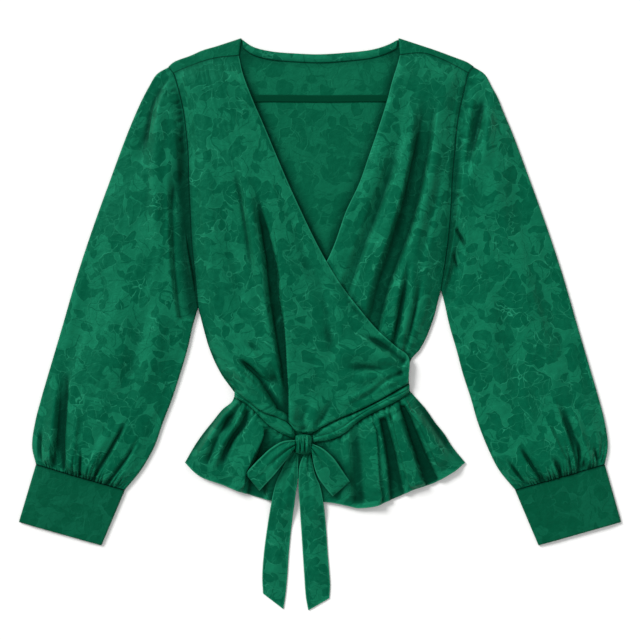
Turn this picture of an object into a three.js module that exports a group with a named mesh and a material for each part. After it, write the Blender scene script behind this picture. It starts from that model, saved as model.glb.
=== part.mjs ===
// A long-sleeved wrap top laid flat on its back, in millimetres.
// The back rests on Z = 0, the front faces +Z, the neck points to +Y. Right and left are the wearer's,
// so the wearer's right side lies at negative X. Every table below runs down the garment (-Y) or along
// +X, and holds real places on the cloth in X and Y.
import * as THREE from "three";

// Cloth and layers
const WALL = 1.4;
const SEAM = 0.3;
const LAYER_AIR = 0.6;
const ON_BACK = WALL + SEAM;
const FRONT_TOP = ON_BACK + WALL;
const ON_FRONT = FRONT_TOP + LAYER_AIR;
const STEEPEST_WALL = 1.5;

// Made sizes
const BINDING_WIDTH = 10;
const TAPE_WIDTH = 9;
const TAPE_THICK = 1;
const TAPE_ENDS = [-95, 95];
const TAPE_TOP_Y = 294;
const FOLD_INSET = 1.55;
const ROLL_TURN = 9;
const ROLL_UNDER_Z = 6.7;
const ROLL_HIGH_Z = 12.5;
const ROLL_LOW_Z = 10.5;
const ROLL_REACH = 46;
const TUBE_EDGE = 4.4;
const SLEEVE_PUFF = 2.2;
const FRONT_LOFT = 3;
const ARMHOLE_CELLS = 14;
const ARMHOLE_GAP = 0.75;
const SHOULDER_GAP = 0.5;
const KNOT_WIDTH = 22;
const KNOT_LENGTH = 25.5;
const KNOT_CENTRE = [-21, -153.2];
const KNOT_HIGH_Z = 17;
const LOOP_UNDER_Z = 6.9;
const TAIL_UNDER_Z = 4.4;
const TAIL_DROP = [-228, -264];

const FABRIC = { color: 0x0d6848, roughness: 0.55, metalness: 0 };
const TAPE_FABRIC = { color: 0x073d29, roughness: 0.7, metalness: 0 };

// Edges of the body, each from its upper or right-hand end: [x, y]
const SHOULDER_FOLD_RIGHT = [[-194, 330], [-187, 336], [-166, 344], [-150, 351], [-133, 356], [-101, 366.5]];
const SHOULDER_FOLD_LEFT = [[101, 366.5], [133, 356], [148, 351], [175, 341], [188, 336], [196.5, 330.5]];
const SHOULDER_SEAM_RIGHT = [[-188, 322.5], [-165, 332], [-152, 337], [-133, 342], [-104, 345]];
const SHOULDER_SEAM_LEFT = [[102.5, 346], [133, 348], [157, 340], [175, 331], [190.5, 322.5]];
const BACK_NECK = [[-101, 366.5], [-88, 358], [-65, 352], [-31, 349], [0, 348], [33, 350], [68, 354], [88, 360], [101, 366.5]];
const ARMHOLE_RIGHT = [
  [-194, 330], [-188, 322.5], [-183, 308], [-178.5, 291], [-174.5, 272], [-171.5, 248], [-169, 222],
  [-168, 185], [-166, 141], [-164, 102], [-160, 63], [-156, 22],
];
const ARMHOLE_LEFT = [
  [196.5, 330.5], [190.5, 322.5], [186, 306], [181.5, 288], [178, 270], [175, 250], [173, 226],
  [170, 193], [168, 154], [165, 115], [160, 76], [155, 44],
];
const SIDE_RIGHT = [[-156, 22], [-150, -2], [-141, -33], [-127, -63], [-109, -88]];
const SIDE_LEFT = [[155, 44], [151, 29], [147, 13], [142, -2], [136, -17], [127, -33], [116, -46], [114, -63], [114, -82]];

// Neck edge of the over front to its end in the left side seam, and of the under front, hidden below the V
const OVER_NECK = [
  [-104, 345], [-99, 322], [-88, 292], [-72, 255], [-51, 205], [-33, 164], [-8, 111], [8, 81],
  [28, 49], [51, 19], [73, -7], [97, -29], [113, -43], [113, -74],
];
const UNDER_NECK = [
  [102.5, 346], [100, 336], [92, 310], [86, 287], [77, 258], [63, 217], [50, 180], [33, 144],
  [19, 104], [8, 80], [-12, 49], [-36, 19], [-60, -7], [-84, -31], [-102, -52], [-104, -84],
];

// Waist seam under the tie, and the lower edge of the over front where it rolls over the tie
const WAIST_BACK = [[-109, -90], [-55, -95], [0, -97], [55, -93], [114, -84]];
const WAIST_FRONT = [
  [-108, -90], [-88, -101], [-70, -113], [-50, -127], [-30, -141], [-8, -144], [14, -138],
  [40, -124], [63, -110], [84, -100], [113, -84],
];
const ROLL_EDGE = [
  [-109, -84], [-88, -100], [-74, -111], [-56, -118], [-40, -126], [-29, -137], [-8, -137.5],
  [3, -131.5], [22, -122], [40, -115], [63, -104.5], [84, -93.5], [113, -77],
];

// Peplum outlines
const PEPLUM_SIDE_RIGHT = [[-109, -90], [-113, -99], [-125, -109], [-138, -125], [-150, -140], [-161, -156], [-173, -177]];
const PEPLUM_SIDE_LEFT = [[114, -84], [123, -94], [136, -109], [147, -125], [159, -140], [169, -156], [186, -177]];
const PEPLUM_HEM_RIGHT = [[-173, -177], [-154, -194], [-125, -205], [-93, -217], [-61, -226], [-34.5, -229]];
const PEPLUM_HEM_LEFT = [
  [-24, -227], [13, -228], [35, -232], [49, -235], [72, -232], [87, -226], [106, -218], [118, -212],
  [147, -202], [172, -188], [186, -177],
];
const PEPLUM_HEM_BACK = [[-173, -177], [-118, -190], [-58, -196], [0, -198], [58, -197], [120, -191], [186, -177]];
const CENTRE_FRONT_RIGHT = [[-30, -141.5], [-34.5, -229]];
const CENTRE_FRONT_LEFT = [[-13, -143.5], [-24, -227]];

// Sleeve outlines from shoulder or underarm to the cuff seam
const SLEEVE_OUTER_RIGHT = [
  [-194, 330], [-209, 321], [-219, 305], [-227, 290], [-234, 275], [-247, 244], [-270, 182],
  [-292, 121], [-312, 60], [-330, -2], [-348, -63], [-357, -94], [-365, -125], [-369, -156], [-364, -179],
];
const SLEEVE_INNER_RIGHT = [
  [-156, 22], [-163, -2], [-170, -33], [-179, -63], [-189, -94], [-201, -125], [-212, -156],
  [-229, -186], [-250, -212],
];
const SLEEVE_OUTER_LEFT = [
  [196.5, 330.5], [211, 321], [220, 305], [228, 290], [234, 275], [247, 244], [270, 182],
  [292, 121], [312, 60], [330, -2], [348, -63], [357, -94], [365, -125], [369, -156], [365, -179],
];
const SLEEVE_INNER_LEFT = [
  [155, 44], [159, 29], [166, -2], [175, -33], [183, -63], [193, -94], [202, -125],
  [214, -156], [229, -186], [250, -212],
];
const CUFF_RIGHT = { outer: [[-364, -179], [-386, -253]], inner: [[-250, -212], [-280, -283]] };
const CUFF_LEFT = { outer: [[365, -179], [386, -253]], inner: [[250, -212], [280, -283]] };

// Waist tie, bow loops and tails: their two long edges
const TIE_RIGHT = {
  upper: [[-109.5, -83], [-88, -95], [-72, -106], [-50, -119], [-32.6, -135]],
  lower: [[-109.5, -93], [-93, -102], [-78, -116], [-65, -129], [-51, -138], [-32.6, -146.5]],
};
const TIE_LEFT = {
  upper: [[-9.4, -140.5], [4, -131], [22, -121], [38, -115], [65, -103], [88, -90], [114.5, -76]],
  lower: [[-9.4, -150.5], [14, -147], [31, -139], [47, -125], [63, -115], [79, -107], [99, -97], [114.5, -86]],
};
const LOOP_RIGHT = {
  upper: [[-32.6, -147.5], [-47, -149], [-63, -158], [-76, -170], [-86, -180], [-95, -190]],
  lower: [[-32.6, -157], [-41, -170], [-50, -181], [-58, -191], [-68, -202], [-77, -212]],
};
const LOOP_LEFT = {
  upper: [[-9.4, -152], [3, -158], [17, -170], [27, -184], [38, -200]],
  lower: [[-9.4, -164], [-7, -182], [-2, -195], [7, -208], [16, -219]],
};
const TAIL_RIGHT = {
  outer: [[-33.6, -162], [-42.5, -173], [-50, -188], [-57, -204], [-63, -232], [-68, -263], [-72, -294], [-74, -324], [-73, -345]],
  inner: [[-27.8, -167.2], [-28.5, -199], [-31, -217], [-33, -232], [-37, -263], [-40, -294], [-42, -324], [-44, -345], [-47, -365]],
};
const TAIL_LEFT = {
  inner: [[-20, -166.6], [-26, -180], [-27.5, -202], [-27, -217], [-26, -232], [-24, -263], [-22, -294], [-20, -324], [-18, -350], [-15, -366.5]],
  outer: [[-12, -166.6], [-6, -192], [0, -206], [5, -232], [8, -263], [10, -294], [12, -318], [13, -335], [12, -351]],
};

// Folds: line runs down or along +X; height over the panel; reach on each side; share that fades at each end
const OVER_FRONT_FOLDS = [
  { line: [[-109, 227], [-93, 154], [-81, 86], [-68, 49], [-60, 6]], height: 3.2, west: 22, east: 18, fade: 0.4 },
  { line: [[-81, 172], [-67, 120], [-52, 70], [-46, 31], [-42, -21], [-41, -71], [-40, -112]], height: -5, west: 16, east: 5, fade: 0.3 },
  { line: [[-70, 160], [-58, 110], [-44, 70], [-38, 31], [-35, -21], [-33, -71], [-33, -112]], height: 3.6, west: 5, east: 20, fade: 0.3 },
  { line: [[-14, -80], [-18, -110], [-21, -130]], height: -3.4, west: 9, east: 9, fade: 0.3 },
  { line: [[-100, -42], [-82, -56], [-63, -78], [-50, -100]], height: -3.5, above: 8, below: 6, fade: 0.25 },
  { line: [[24, -96], [46, -88], [67, -78], [90, -66]], height: -2.6, above: 10, below: 6, fade: 0.3 },
  { line: [[30, -30], [70, -40], [108, -48]], height: 2.4, above: 10, below: 12, fade: 0.35 },
];
const UNDER_FRONT_FOLDS = [
  { line: [[141, 279], [136, 232], [123, 180], [110, 134], [97, 89], [83, 49], [74, 6]], height: -4.2, west: 12, east: 12, fade: 0.2 },
  { line: [[125, 269], [115, 207], [102, 139], [91, 92], [81, 44]], height: 3.6, west: 12, east: 9, fade: 0.3 },
  { line: [[156, 249], [141, 185], [125, 139], [112, 94], [97, 49], [83, 8]], height: 3.8, west: 9, east: 14, fade: 0.3 },
  { line: [[133, 275], [104, 227], [86, 175], [73, 131], [52, 84], [38, 38]], height: -2, west: 5, east: 8, fade: 0.3 },
  { line: [[111, 63], [105, 18], [97, -28]], height: -2.6, west: 8, east: 7, fade: 0.35 },
];
const PEPLUM_RIGHT_FOLDS = [
  { line: [[-101, -99], [-117, -121], [-128, -143]], height: -2.8, west: 8, east: 5, fade: 0.3 },
  { line: [[-91, -107], [-111, -143], [-121, -165], [-130, -191]], height: -3, west: 6, east: 9, fade: 0.25 },
  { line: [[-100, -106], [-122, -145], [-140, -190]], height: 3.2, west: 9, east: 7, fade: 0.3 },
  { line: [[-80, -118], [-94, -150], [-106, -210]], height: 3.4, west: 12, east: 9, fade: 0.25 },
];
const PEPLUM_LEFT_FOLDS = [
  { line: [[63, -116], [66, -159], [68, -209], [70, -236]], height: 4.2, west: 14, east: 6, fade: 0.2 },
  { line: [[77, -122], [84, -160], [92, -222]], height: -3.2, west: 5, east: 10, fade: 0.2 },
  { line: [[94, -106], [106, -150], [120, -209]], height: 5, west: 9, east: 9, fade: 0.25 },
  { line: [[106, -106], [122, -150], [138, -204]], height: -3.2, west: 7, east: 9, fade: 0.25 },
  { line: [[112, -99], [133, -125], [153, -172]], height: 4, west: 9, east: 11, fade: 0.3 },
  { line: [[26, -128], [30, -170], [34, -230]], height: 2, west: 12, east: 12, fade: 0.25 },
];
const SLEEVE_RIGHT_FOLDS = [
  { line: [[-204, 300], [-211, 232], [-212, 154], [-210, 76]], height: 3, west: 16, east: 20, fade: 0.4 },
  { line: [[-201, 319], [-216, 280], [-227, 237], [-238, 194]], height: -2.6, west: 12, east: 8, fade: 0.3 },
  { line: [[-178, 230], [-177, 160], [-174, 100]], height: -2.4, west: 7, east: 5, fade: 0.3 },
  { line: [[-321, -47], [-326, -99], [-329, -140], [-329, -182]], height: -4.2, west: 7, east: 7, fade: 0.15 },
  { line: [[-259, -148], [-291, -195]], height: -3, west: 6, east: 6, fade: 0.2 },
  { line: [[-243, -166], [-274, -202]], height: -3, west: 6, east: 6, fade: 0.2 },
  { line: [[-303, -130], [-308, -188]], height: 3, west: 9, east: 9, fade: 0.25 },
  { line: [[-350, -120], [-350, -178]], height: 3, west: 9, east: 9, fade: 0.25 },
];
const SLEEVE_LEFT_FOLDS = [
  { line: [[207, 307], [202, 249], [186, 210]], height: -3, west: 9, east: 9, fade: 0.3 },
  { line: [[222, 280], [222, 200], [216, 110]], height: 3, west: 18, east: 16, fade: 0.4 },
  { line: [[181, 240], [178, 160], [174, 110]], height: -2.2, west: 5, east: 7, fade: 0.3 },
  { line: [[308, -97], [326, -158], [334, -188]], height: -4.2, west: 7, east: 7, fade: 0.15 },
  { line: [[263, -176], [289, -204]], height: -3, west: 6, east: 6, fade: 0.2 },
  { line: [[299, -176], [309, -198]], height: -2.6, west: 5, east: 5, fade: 0.2 },
  { line: [[310, -140], [318, -186]], height: 2.6, west: 8, east: 6, fade: 0.25 },
  { line: [[350, -110], [352, -176]], height: 3, west: 9, east: 9, fade: 0.25 },
];
const TAIL_FOLDS = [
  { line: [[-31, -175], [-50, -240], [-56, -300], [-58, -345]], height: 1.6, west: 9, east: 9, fade: 0.2 },
  { line: [[-14, -175], [-9, -240], [-4, -300], [-2, -345]], height: 1.6, west: 9, east: 9, fade: 0.2 },
];
const KNOT_FOLDS = [
  { line: [[-26.5, -141], [-25, -165]], height: -2.2, west: 2.4, east: 2.4, fade: 0.1 },
  { line: [[-21, -141], [-21.5, -165]], height: -2.4, west: 2.4, east: 2.4, fade: 0.1 },
  { line: [[-15.5, -141], [-17, -165]], height: -2.2, west: 2.4, east: 2.4, fade: 0.1 },
];

const lerp = (a, b, t) => a + (b - a) * t;
const clamp = (t) => Math.min(1, Math.max(0, t));
const smooth = (t) => clamp(t) ** 2 * (3 - 2 * clamp(t));
// The larger of two heights, rounded where they cross.
const softMax = (a, b, round = 0.6) => (a + b + Math.hypot(a - b, round)) / 2;

// A smooth curve through table points, as a function of the share of its length.
function curve(points) {
  const line = new THREE.CatmullRomCurve3(points.map(([x, y]) => new THREE.Vector3(x, y, 0)), false, "centripetal");
  line.arcLengthDivisions = 400;
  return (t) => {
    const p = line.getPointAt(clamp(t));
    return [p.x, p.y];
  };
}

// Several curves end to end, each given the share of the whole that it fills.
function chain(pieces) {
  const curves = pieces.map(({ points }) => curve(points));
  const ends = pieces.map(({ until }) => until);
  return (t) => {
    const k = Math.max(0, ends.findIndex((end) => t <= end + 1e-9));
    const start = k ? ends[k - 1] : 0;
    return curves[k]((t - start) / (ends[k] - start));
  };
}

// X of an edge table that runs down the garment, at height y.
function edgeX(table, y) {
  if (y >= table[0][1]) return table[0][0];
  const k = table.findIndex(([, edgeY]) => edgeY <= y);
  if (k < 0) return table.at(-1)[0];
  const [[x0, y0], [x1, y1]] = [table[k - 1], table[k]];
  return lerp(x0, x1, (y0 - y) / (y0 - y1 || 1));
}

// Height that a fold adds at x, y: full on its line, bell-shaped across it, faded at its ends.
function foldHeight({ line, height, fade, ...reach }, x, y) {
  let best = { gap: Infinity };
  line.slice(1).forEach(([bx, by], k) => {
    const [ax, ay] = line[k];
    const [dx, dy] = [bx - ax, by - ay];
    const t = clamp(((x - ax) * dx + (y - ay) * dy) / (dx * dx + dy * dy));
    const gap = Math.hypot(x - ax - t * dx, y - ay - t * dy);
    const side = dx * (y - ay) - dy * (x - ax);
    if (gap < best.gap) best = { gap, side, share: (k + t) / (line.length - 1) };
  });
  const width = best.side > 0 ? (reach.east ?? reach.above) : (reach.west ?? reach.below);
  const ends = smooth(best.share / fade) * smooth((1 - best.share) / fade);
  return height * ends * smooth(1 - best.gap / (2 * width));
}

const relief = (folds, x, y) => folds.reduce((sum, fold) => sum + foldHeight(fold, x, y), 0);

// Place of (u, v) on a panel: u runs from its left to its right edge, v from its top to its bottom edge.
function panel({ top, bottom, left, right }) {
  return (u, v) =>
    [0, 1].map(
      (k) =>
        lerp(top(u)[k], bottom(u)[k], v) +
        lerp(left(v)[k], right(v)[k], u) -
        lerp(lerp(top(0)[k], top(1)[k], u), lerp(bottom(0)[k], bottom(1)[k], u), v),
    );
}

// Closed body between an outer and an inner grid of points; a ring grid joins its last column to its first.
function shell(name, outer, inner, { ring = false, used = () => true, cloth = FABRIC } = {}) {
  const rows = outer.length - 1;
  const width = outer[0].length;
  const columns = width - (ring ? 0 : 1);
  const points = [...outer.flat(), ...inner.flat()];
  const inside = outer.flat().length;
  const triangles = [];
  const at = (i, j) => i * width + (j % width);
  const quad = (a, b, c, d) => triangles.push([a, b, c], [a, c, d]);
  const filled = (i, j) => {
    const column = ring ? (j + columns) % columns : j;
    return i >= 0 && i < rows && column >= 0 && column < columns && used(i, column);
  };
  for (let i = 0; i < rows; i += 1) {
    for (let j = 0; j < columns; j += 1) {
      if (!filled(i, j)) continue;
      const [a, b, c, d] = [at(i, j), at(i + 1, j), at(i + 1, j + 1), at(i, j + 1)];
      quad(a, b, c, d);
      quad(d + inside, c + inside, b + inside, a + inside);
      const rim = (p, q) => quad(q, p, p + inside, q + inside);
      if (!filled(i, j - 1)) rim(a, b);
      if (!filled(i + 1, j)) rim(b, c);
      if (!filled(i, j + 1)) rim(c, d);
      if (!filled(i - 1, j)) rim(d, a);
    }
  }
  return body(name, points, triangles, cloth);
}

// A named mesh whose faces are turned outwards by the sign of the volume they enclose.
function body(name, points, triangles, cloth) {
  const corners = points.map(([x, y, z]) => new THREE.Vector3(x, y, z));
  const volume = triangles.reduce((sum, [a, b, c]) => {
    const across = new THREE.Vector3().crossVectors(corners[b], corners[c]);
    return sum + corners[a].dot(across);
  }, 0);
  const faces = volume < 0 ? triangles.map(([a, b, c]) => [a, c, b]) : triangles;
  const geometry = new THREE.BufferGeometry();
  geometry.setAttribute("position", new THREE.Float32BufferAttribute(points.flat(), 3));
  geometry.setIndex(faces.flat());
  geometry.computeVertexNormals();
  const mesh = new THREE.Mesh(geometry, new THREE.MeshStandardMaterial({ ...cloth, side: THREE.DoubleSide }));
  mesh.name = name;
  return mesh;
}

// How much more wall a sloping cloth needs upright to keep its thickness.
function slopeFactor(height, x, y, u, v) {
  const step = 0.5;
  const dx = (height(x + step, y, u, v) - height(x - step, y, u, v)) / (2 * step);
  const dy = (height(x, y + step, u, v) - height(x, y - step, u, v)) / (2 * step);
  return Math.min(STEEPEST_WALL, Math.hypot(1, dx, dy));
}

const steps = (count) => Array.from({ length: count + 1 }, (_, k) => k / count);

// A panel that lies open: under(x, y, u, v) is the height of its lower face.
function sheet(name, place, under, columns, rows, options = {}) {
  const wall = options.wall ?? WALL;
  const cells = steps(rows).map((v) => steps(columns).map((u) => [...place(u, v), u, v]));
  const lower = cells.map((row) => row.map(([x, y, u, v]) => [x, y, under(x, y, u, v)]));
  const upper = cells.map((row, i) =>
    row.map(([x, y, u, v], j) => [x, y, lower[i][j][2] + wall * slopeFactor(under, x, y, u, v)]),
  );
  return shell(name, upper, lower, options);
}

// A flattened tube with open ends: the lower half lies on Z = 0, crown(x, y, u, v) is the height of its top.
function tube(name, place, crown, edge, columns, rows) {
  const rings = steps(rows).map((v) => {
    const [ax, ay] = place(0, v);
    const [bx, by] = place(1, v);
    const span = Math.hypot(bx - ax, by - ay);
    const bend = edge(v) / 2;
    const turn = [0, 0.3 * bend, bend].map((d) => d / span);
    const across = [...turn, ...steps(columns).slice(1, -1), ...turn.map((t) => 1 - t).reverse()];
    const round = across.map((u) => {
      const near = Math.min(u, 1 - u) * span;
      return Math.sqrt(1 - (1 - clamp(near / bend)) ** 2);
    });
    const middle = edge(v) / 2;
    const top = across.map((u, k) => {
      const [x, y] = place(u, v);
      return [x, y, middle + (crown(x, y, u, v) - middle) * round[k]];
    });
    const bottom = across.map((u, k) => [...place(u, v), middle * (1 - round[k])]);
    const shrink = (u) => (WALL + u * (span - 2 * WALL)) / span;
    const ceiling = across.map((u, k) => {
      const [x, y] = place(shrink(u), v);
      const wall = WALL * slopeFactor(crown, x, y, shrink(u), v);
      const high = Math.max(crown(x, y, shrink(u), v) - wall, WALL + SEAM);
      return [x, y, middle + (high - middle) * round[k]];
    });
    const floor = across.map((u, k) => {
      return [...place(shrink(u), v), middle - (middle - WALL) * round[k]];
    });
    const around = (over, under) => [...over, ...under.slice(1, -1).reverse()];
    return { outer: around(top, bottom), inner: around(ceiling, floor) };
  });
  return shell(name, rings.map(({ outer }) => outer), rings.map(({ inner }) => inner), { ring: true });
}

const moved = (points, dx, dy = 0) => points.map(([x, y]) => [x + dx, y + dy]);

// Height of the under front's lower face; it lies flat where the over front covers it.
function underFrontLow(x, y) {
  const shown = smooth((x - edgeX(OVER_NECK, y) + 13) / 11);
  const fromArm = smooth((edgeX([...ARMHOLE_LEFT.slice(1), ...SIDE_LEFT], y) - x) / 22);
  const fromTop = smooth((336 - y) / 26);
  const loft = FRONT_LOFT * smooth((y - -20) / 60);
  const lifted = (loft + relief(UNDER_FRONT_FOLDS, x, y)) * shown * fromArm * fromTop;
  return ON_BACK + tapeRise(x, y) + softMax(0, lifted) * smooth((lifted + 1) / 1.5) * shown;
}

// The fronts step over the ends of the back stay tape.
function tapeRise(x, y) {
  const along = smooth((Math.abs(y - (TAPE_TOP_Y - TAPE_WIDTH / 2)) - TAPE_WIDTH / 2 - 1) / 7);
  const past = smooth((Math.abs(x) - TAPE_ENDS[1] - 1.5) / 8);
  return (TAPE_THICK + 0.1) * (1 - Math.max(along, past));
}

// Height of the over front's lower face: on the back, over the under front, and up over the tie at the waist.
function overFrontLow(x, y) {
  const covers = smooth((x - edgeX(UNDER_NECK, y) + 13) / 12);
  const fromArm = smooth((x - edgeX([...ARMHOLE_RIGHT.slice(1), ...SIDE_RIGHT], y)) / 24);
  const fromTop = smooth((334 - y) / 26);
  const free = smooth((edgeX(OVER_NECK, y) - x) / 20);
  const bottom = rollY(x);
  const roll = smooth(1 - (y - bottom) / ROLL_REACH);
  const rollSide = smooth((x + 112) / 26) * smooth((122 - x) / 40);
  const rollHigh = lerp(ROLL_HIGH_Z, ROLL_LOW_Z, smooth((x + 20) / 60));
  const base = ON_BACK + tapeRise(x, y) + covers * (WALL + LAYER_AIR + 0.15 - tapeRise(x, y));
  const lifted = (FRONT_LOFT * (0.35 + 0.65 * free) + relief(OVER_FRONT_FOLDS, x, y)) * fromArm * fromTop;
  const cloth = base + softMax(0, lifted) * smooth((lifted + 1) / 1.5);
  const rolled = lerp(cloth, rollHigh - WALL + 0.5 * relief(OVER_FRONT_FOLDS, x, y), roll * rollSide);
  const clear = lerp(0, underFrontLow(x, y) + WALL + LAYER_AIR, covers);
  return softMax(softMax(rolled, clear, 0.3), lerp(0, ROLL_UNDER_Z + WALL + 0.4, smooth(1 - (y - bottom - 6) / 10)), 0.3);
}

// Height y of the roll's lower edge at x.
function rollY(x) {
  const k = ROLL_EDGE.findIndex(([edge]) => edge >= x);
  if (k <= 0) return (k < 0 ? ROLL_EDGE.at(-1) : ROLL_EDGE[0])[1];
  const [[x0, y0], [x1, y1]] = [ROLL_EDGE[k - 1], ROLL_EDGE[k]];
  return lerp(y0, y1, (x - x0) / (x1 - x0));
}

// Back of the bodice: its shoulders fold over to the front and end at the forward seams.
function backBodice() {
  const rows = ARMHOLE_CELLS + 4;
  const side = (armhole, flank) => chain([{ points: armhole, until: ARMHOLE_CELLS / rows }, { points: flank, until: 1 }]);
  const foldRight = curve(SHOULDER_FOLD_RIGHT);
  const foldLeft = curve(SHOULDER_FOLD_LEFT);
  const place = panel({
    top: chain([
      { points: SHOULDER_FOLD_RIGHT, until: 0.3 },
      { points: BACK_NECK, until: 0.7 },
      { points: SHOULDER_FOLD_LEFT, until: 1 },
    ]),
    bottom: curve(WAIST_BACK),
    left: side(ARMHOLE_RIGHT, SIDE_RIGHT),
    right: side(ARMHOLE_LEFT, SIDE_LEFT),
  });
  const columns = 20;
  const shoulder = 0.3 * columns;
  const seamRight = curve(moved(SHOULDER_SEAM_RIGHT, 0, SHOULDER_GAP));
  const seamLeft = curve(moved(SHOULDER_SEAM_LEFT, 0, SHOULDER_GAP));
  const [outer, inner] = [[], []];
  const middle = FRONT_TOP / 2;
  const across = steps(columns);
  const flapAt = (u, share) => {
    const right = u <= 0.5;
    const s = right ? clamp(u / 0.3) : clamp((u - 0.7) / 0.3);
    const [[fx, fy], [sx, sy]] = right ? [foldRight(s), seamRight(s)] : [foldLeft(s), seamLeft(s)];
    const reach = Math.hypot(sx - fx, sy - fy);
    const t = share < 0 ? Math.min(0.45, FOLD_INSET / reach) : share;
    return [lerp(fx, sx, t), lerp(fy, sy, t)];
  };
  [1, 0.5, -1].forEach((share) => {
    outer.push(across.map((u) => [...flapAt(u, share), FRONT_TOP]));
    inner.push(across.map((u) => [...flapAt(u, share), ON_BACK]));
  });
  const below = (u, reach) => {
    const [[ax, ay], [bx, by]] = [place(u, 0), place(u, 1 / rows)];
    const t = reach / Math.hypot(bx - ax, by - ay);
    return [lerp(ax, bx, t), lerp(ay, by, t)];
  };
  outer.push(across.map((u) => [...place(u, 0), middle]));
  inner.push(across.map((u) => [...below(u, WALL), middle]));
  steps(rows).forEach((v) => {
    const spots = across.map((u) => (v ? place(u, v) : below(u, FOLD_INSET)));
    outer.push(spots.map(([x, y]) => [x, y, 0]));
    inner.push(spots.map(([x, y]) => [x, y, WALL]));
  });
  const used = (i, j) => i >= 4 || j < shoulder || j >= columns - shoulder;
  return shell("back_bodice", outer, inner, { used });
}

function backNeckBinding() {
  const edge = curve(moved(BACK_NECK, 0, -FOLD_INSET).map(([x, y]) => [x * 0.985, y]));
  const place = (u, v) => {
    const [x, y] = edge(u);
    return [x * (1 - 0.012 * v), y - 1.2 - v * BINDING_WIDTH];
  };
  return sheet("back_neck_binding", place, () => ON_BACK, 20, 1);
}

function backStayTape() {
  const place = (u, v) => [lerp(...TAPE_ENDS, u), TAPE_TOP_Y - v * TAPE_WIDTH];
  return sheet("back_stay_tape", place, () => ON_BACK, 8, 1, { wall: TAPE_THICK, cloth: TAPE_FABRIC });
}

// Armhole edge of a front and the side seam below it: the armhole's first cell belongs to the shoulder.
function frontArmhole(armhole, flank, rows) {
  const whole = curve(armhole);
  const side = curve(flank);
  const share = ARMHOLE_CELLS / rows;
  const start = armhole[1][1];
  const first = steps(200).find((t) => whole(t)[1] <= start);
  return (v) => (v <= share ? whole(lerp(first, 1, v / share)) : side((v - share) / (1 - share)));
}

function frontLeft() {
  const rows = ARMHOLE_CELLS + 8;
  const place = panel({
    top: curve(SHOULDER_SEAM_LEFT),
    bottom: curve(moved(WAIST_FRONT, 1, 1).map(([x, y]) => [clamp((x + 110) / 220) * 216 - 103, y + SEAM])),
    left: curve(UNDER_NECK),
    right: frontArmhole(ARMHOLE_LEFT, SIDE_LEFT, rows),
  });
  return sheet("front_left", place, underFrontLow, 18, rows);
}

// The over front ends in a soft roll: the last rows turn under and back up above the tie.
function frontRight() {
  const [columns, rows] = [24, ARMHOLE_CELLS + 10];
  const place = panel({
    top: curve(SHOULDER_SEAM_RIGHT),
    bottom: curve(ROLL_EDGE),
    left: frontArmhole(ARMHOLE_RIGHT, [...SIDE_RIGHT.slice(0, -1), ROLL_EDGE[0]], rows),
    right: curve(OVER_NECK),
  });
  const across = steps(columns);
  const inset = 2.6;
  const [outer, inner] = [[], []];
  const raised = ([x, y], up) => [x, y + up];
  steps(rows).forEach((v) => {
    const cells = across.map((u) => raised(place(u, v), inset * v ** 8));
    inner.push(cells.map(([x, y]) => [x, y, overFrontLow(x, y)]));
    outer.push(cells.map(([x, y]) => [x, y, overFrontLow(x, y) + WALL * slopeFactor(overFrontLow, x, y)]));
  });
  const roll = across.map((u, j) => ({ edge: place(u, 1), top: outer.at(-1)[j][2] }));
  const mid = (top) => (top + ROLL_UNDER_Z) / 2;
  const half = (top) => (top - ROLL_UNDER_Z) / 2;
  [[0.7, 0.72], [0, 0], [0.7, -0.72]].forEach(([up, rise]) => {
    outer.push(roll.map(({ edge, top }) => [...raised(edge, up), mid(top) + rise * half(top)]));
    inner.push(roll.map(({ edge, top }) => [...raised(edge, WALL + up * 0.7), mid(top) + rise * (half(top) - WALL)]));
  });
  [inset, ROLL_TURN].forEach((up) => {
    outer.push(roll.map(({ edge }) => [...raised(edge, up), ROLL_UNDER_Z]));
    inner.push(roll.map(({ edge }) => [...raised(edge, up), ROLL_UNDER_Z + WALL]));
  });
  return shell("front_right", outer, inner);
}

function peplumFront(name, { top, hem, outerEdge, centre, folds, west }) {
  const place = panel({
    top: curve(top),
    bottom: curve(hem),
    left: curve(west ? outerEdge : centre),
    right: curve(west ? centre : outerEdge),
  });
  const under = (x, y, u, v) => {
    const fromSide = smooth((west ? u : 1 - u) / 0.08);
    const fromCentre = smooth((west ? 1 - u : u) / 0.3);
    const fromTop = smooth((v - 0.14) / 0.25);
    const lifted = (1.6 + relief(folds, x, y)) * fromSide * fromCentre * fromTop;
    return ON_BACK + softMax(0, lifted) * smooth((lifted + 1) / 1.5);
  };
  return sheet(name, place, under, west ? 18 : 26, 8);
}

function backPeplum() {
  const place = panel({
    top: curve(moved(WAIST_BACK, 0, -SEAM)),
    bottom: curve(PEPLUM_HEM_BACK),
    left: curve(PEPLUM_SIDE_RIGHT),
    right: curve(PEPLUM_SIDE_LEFT),
  });
  return sheet("back_peplum", place, () => 0, 14, 4);
}

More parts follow.
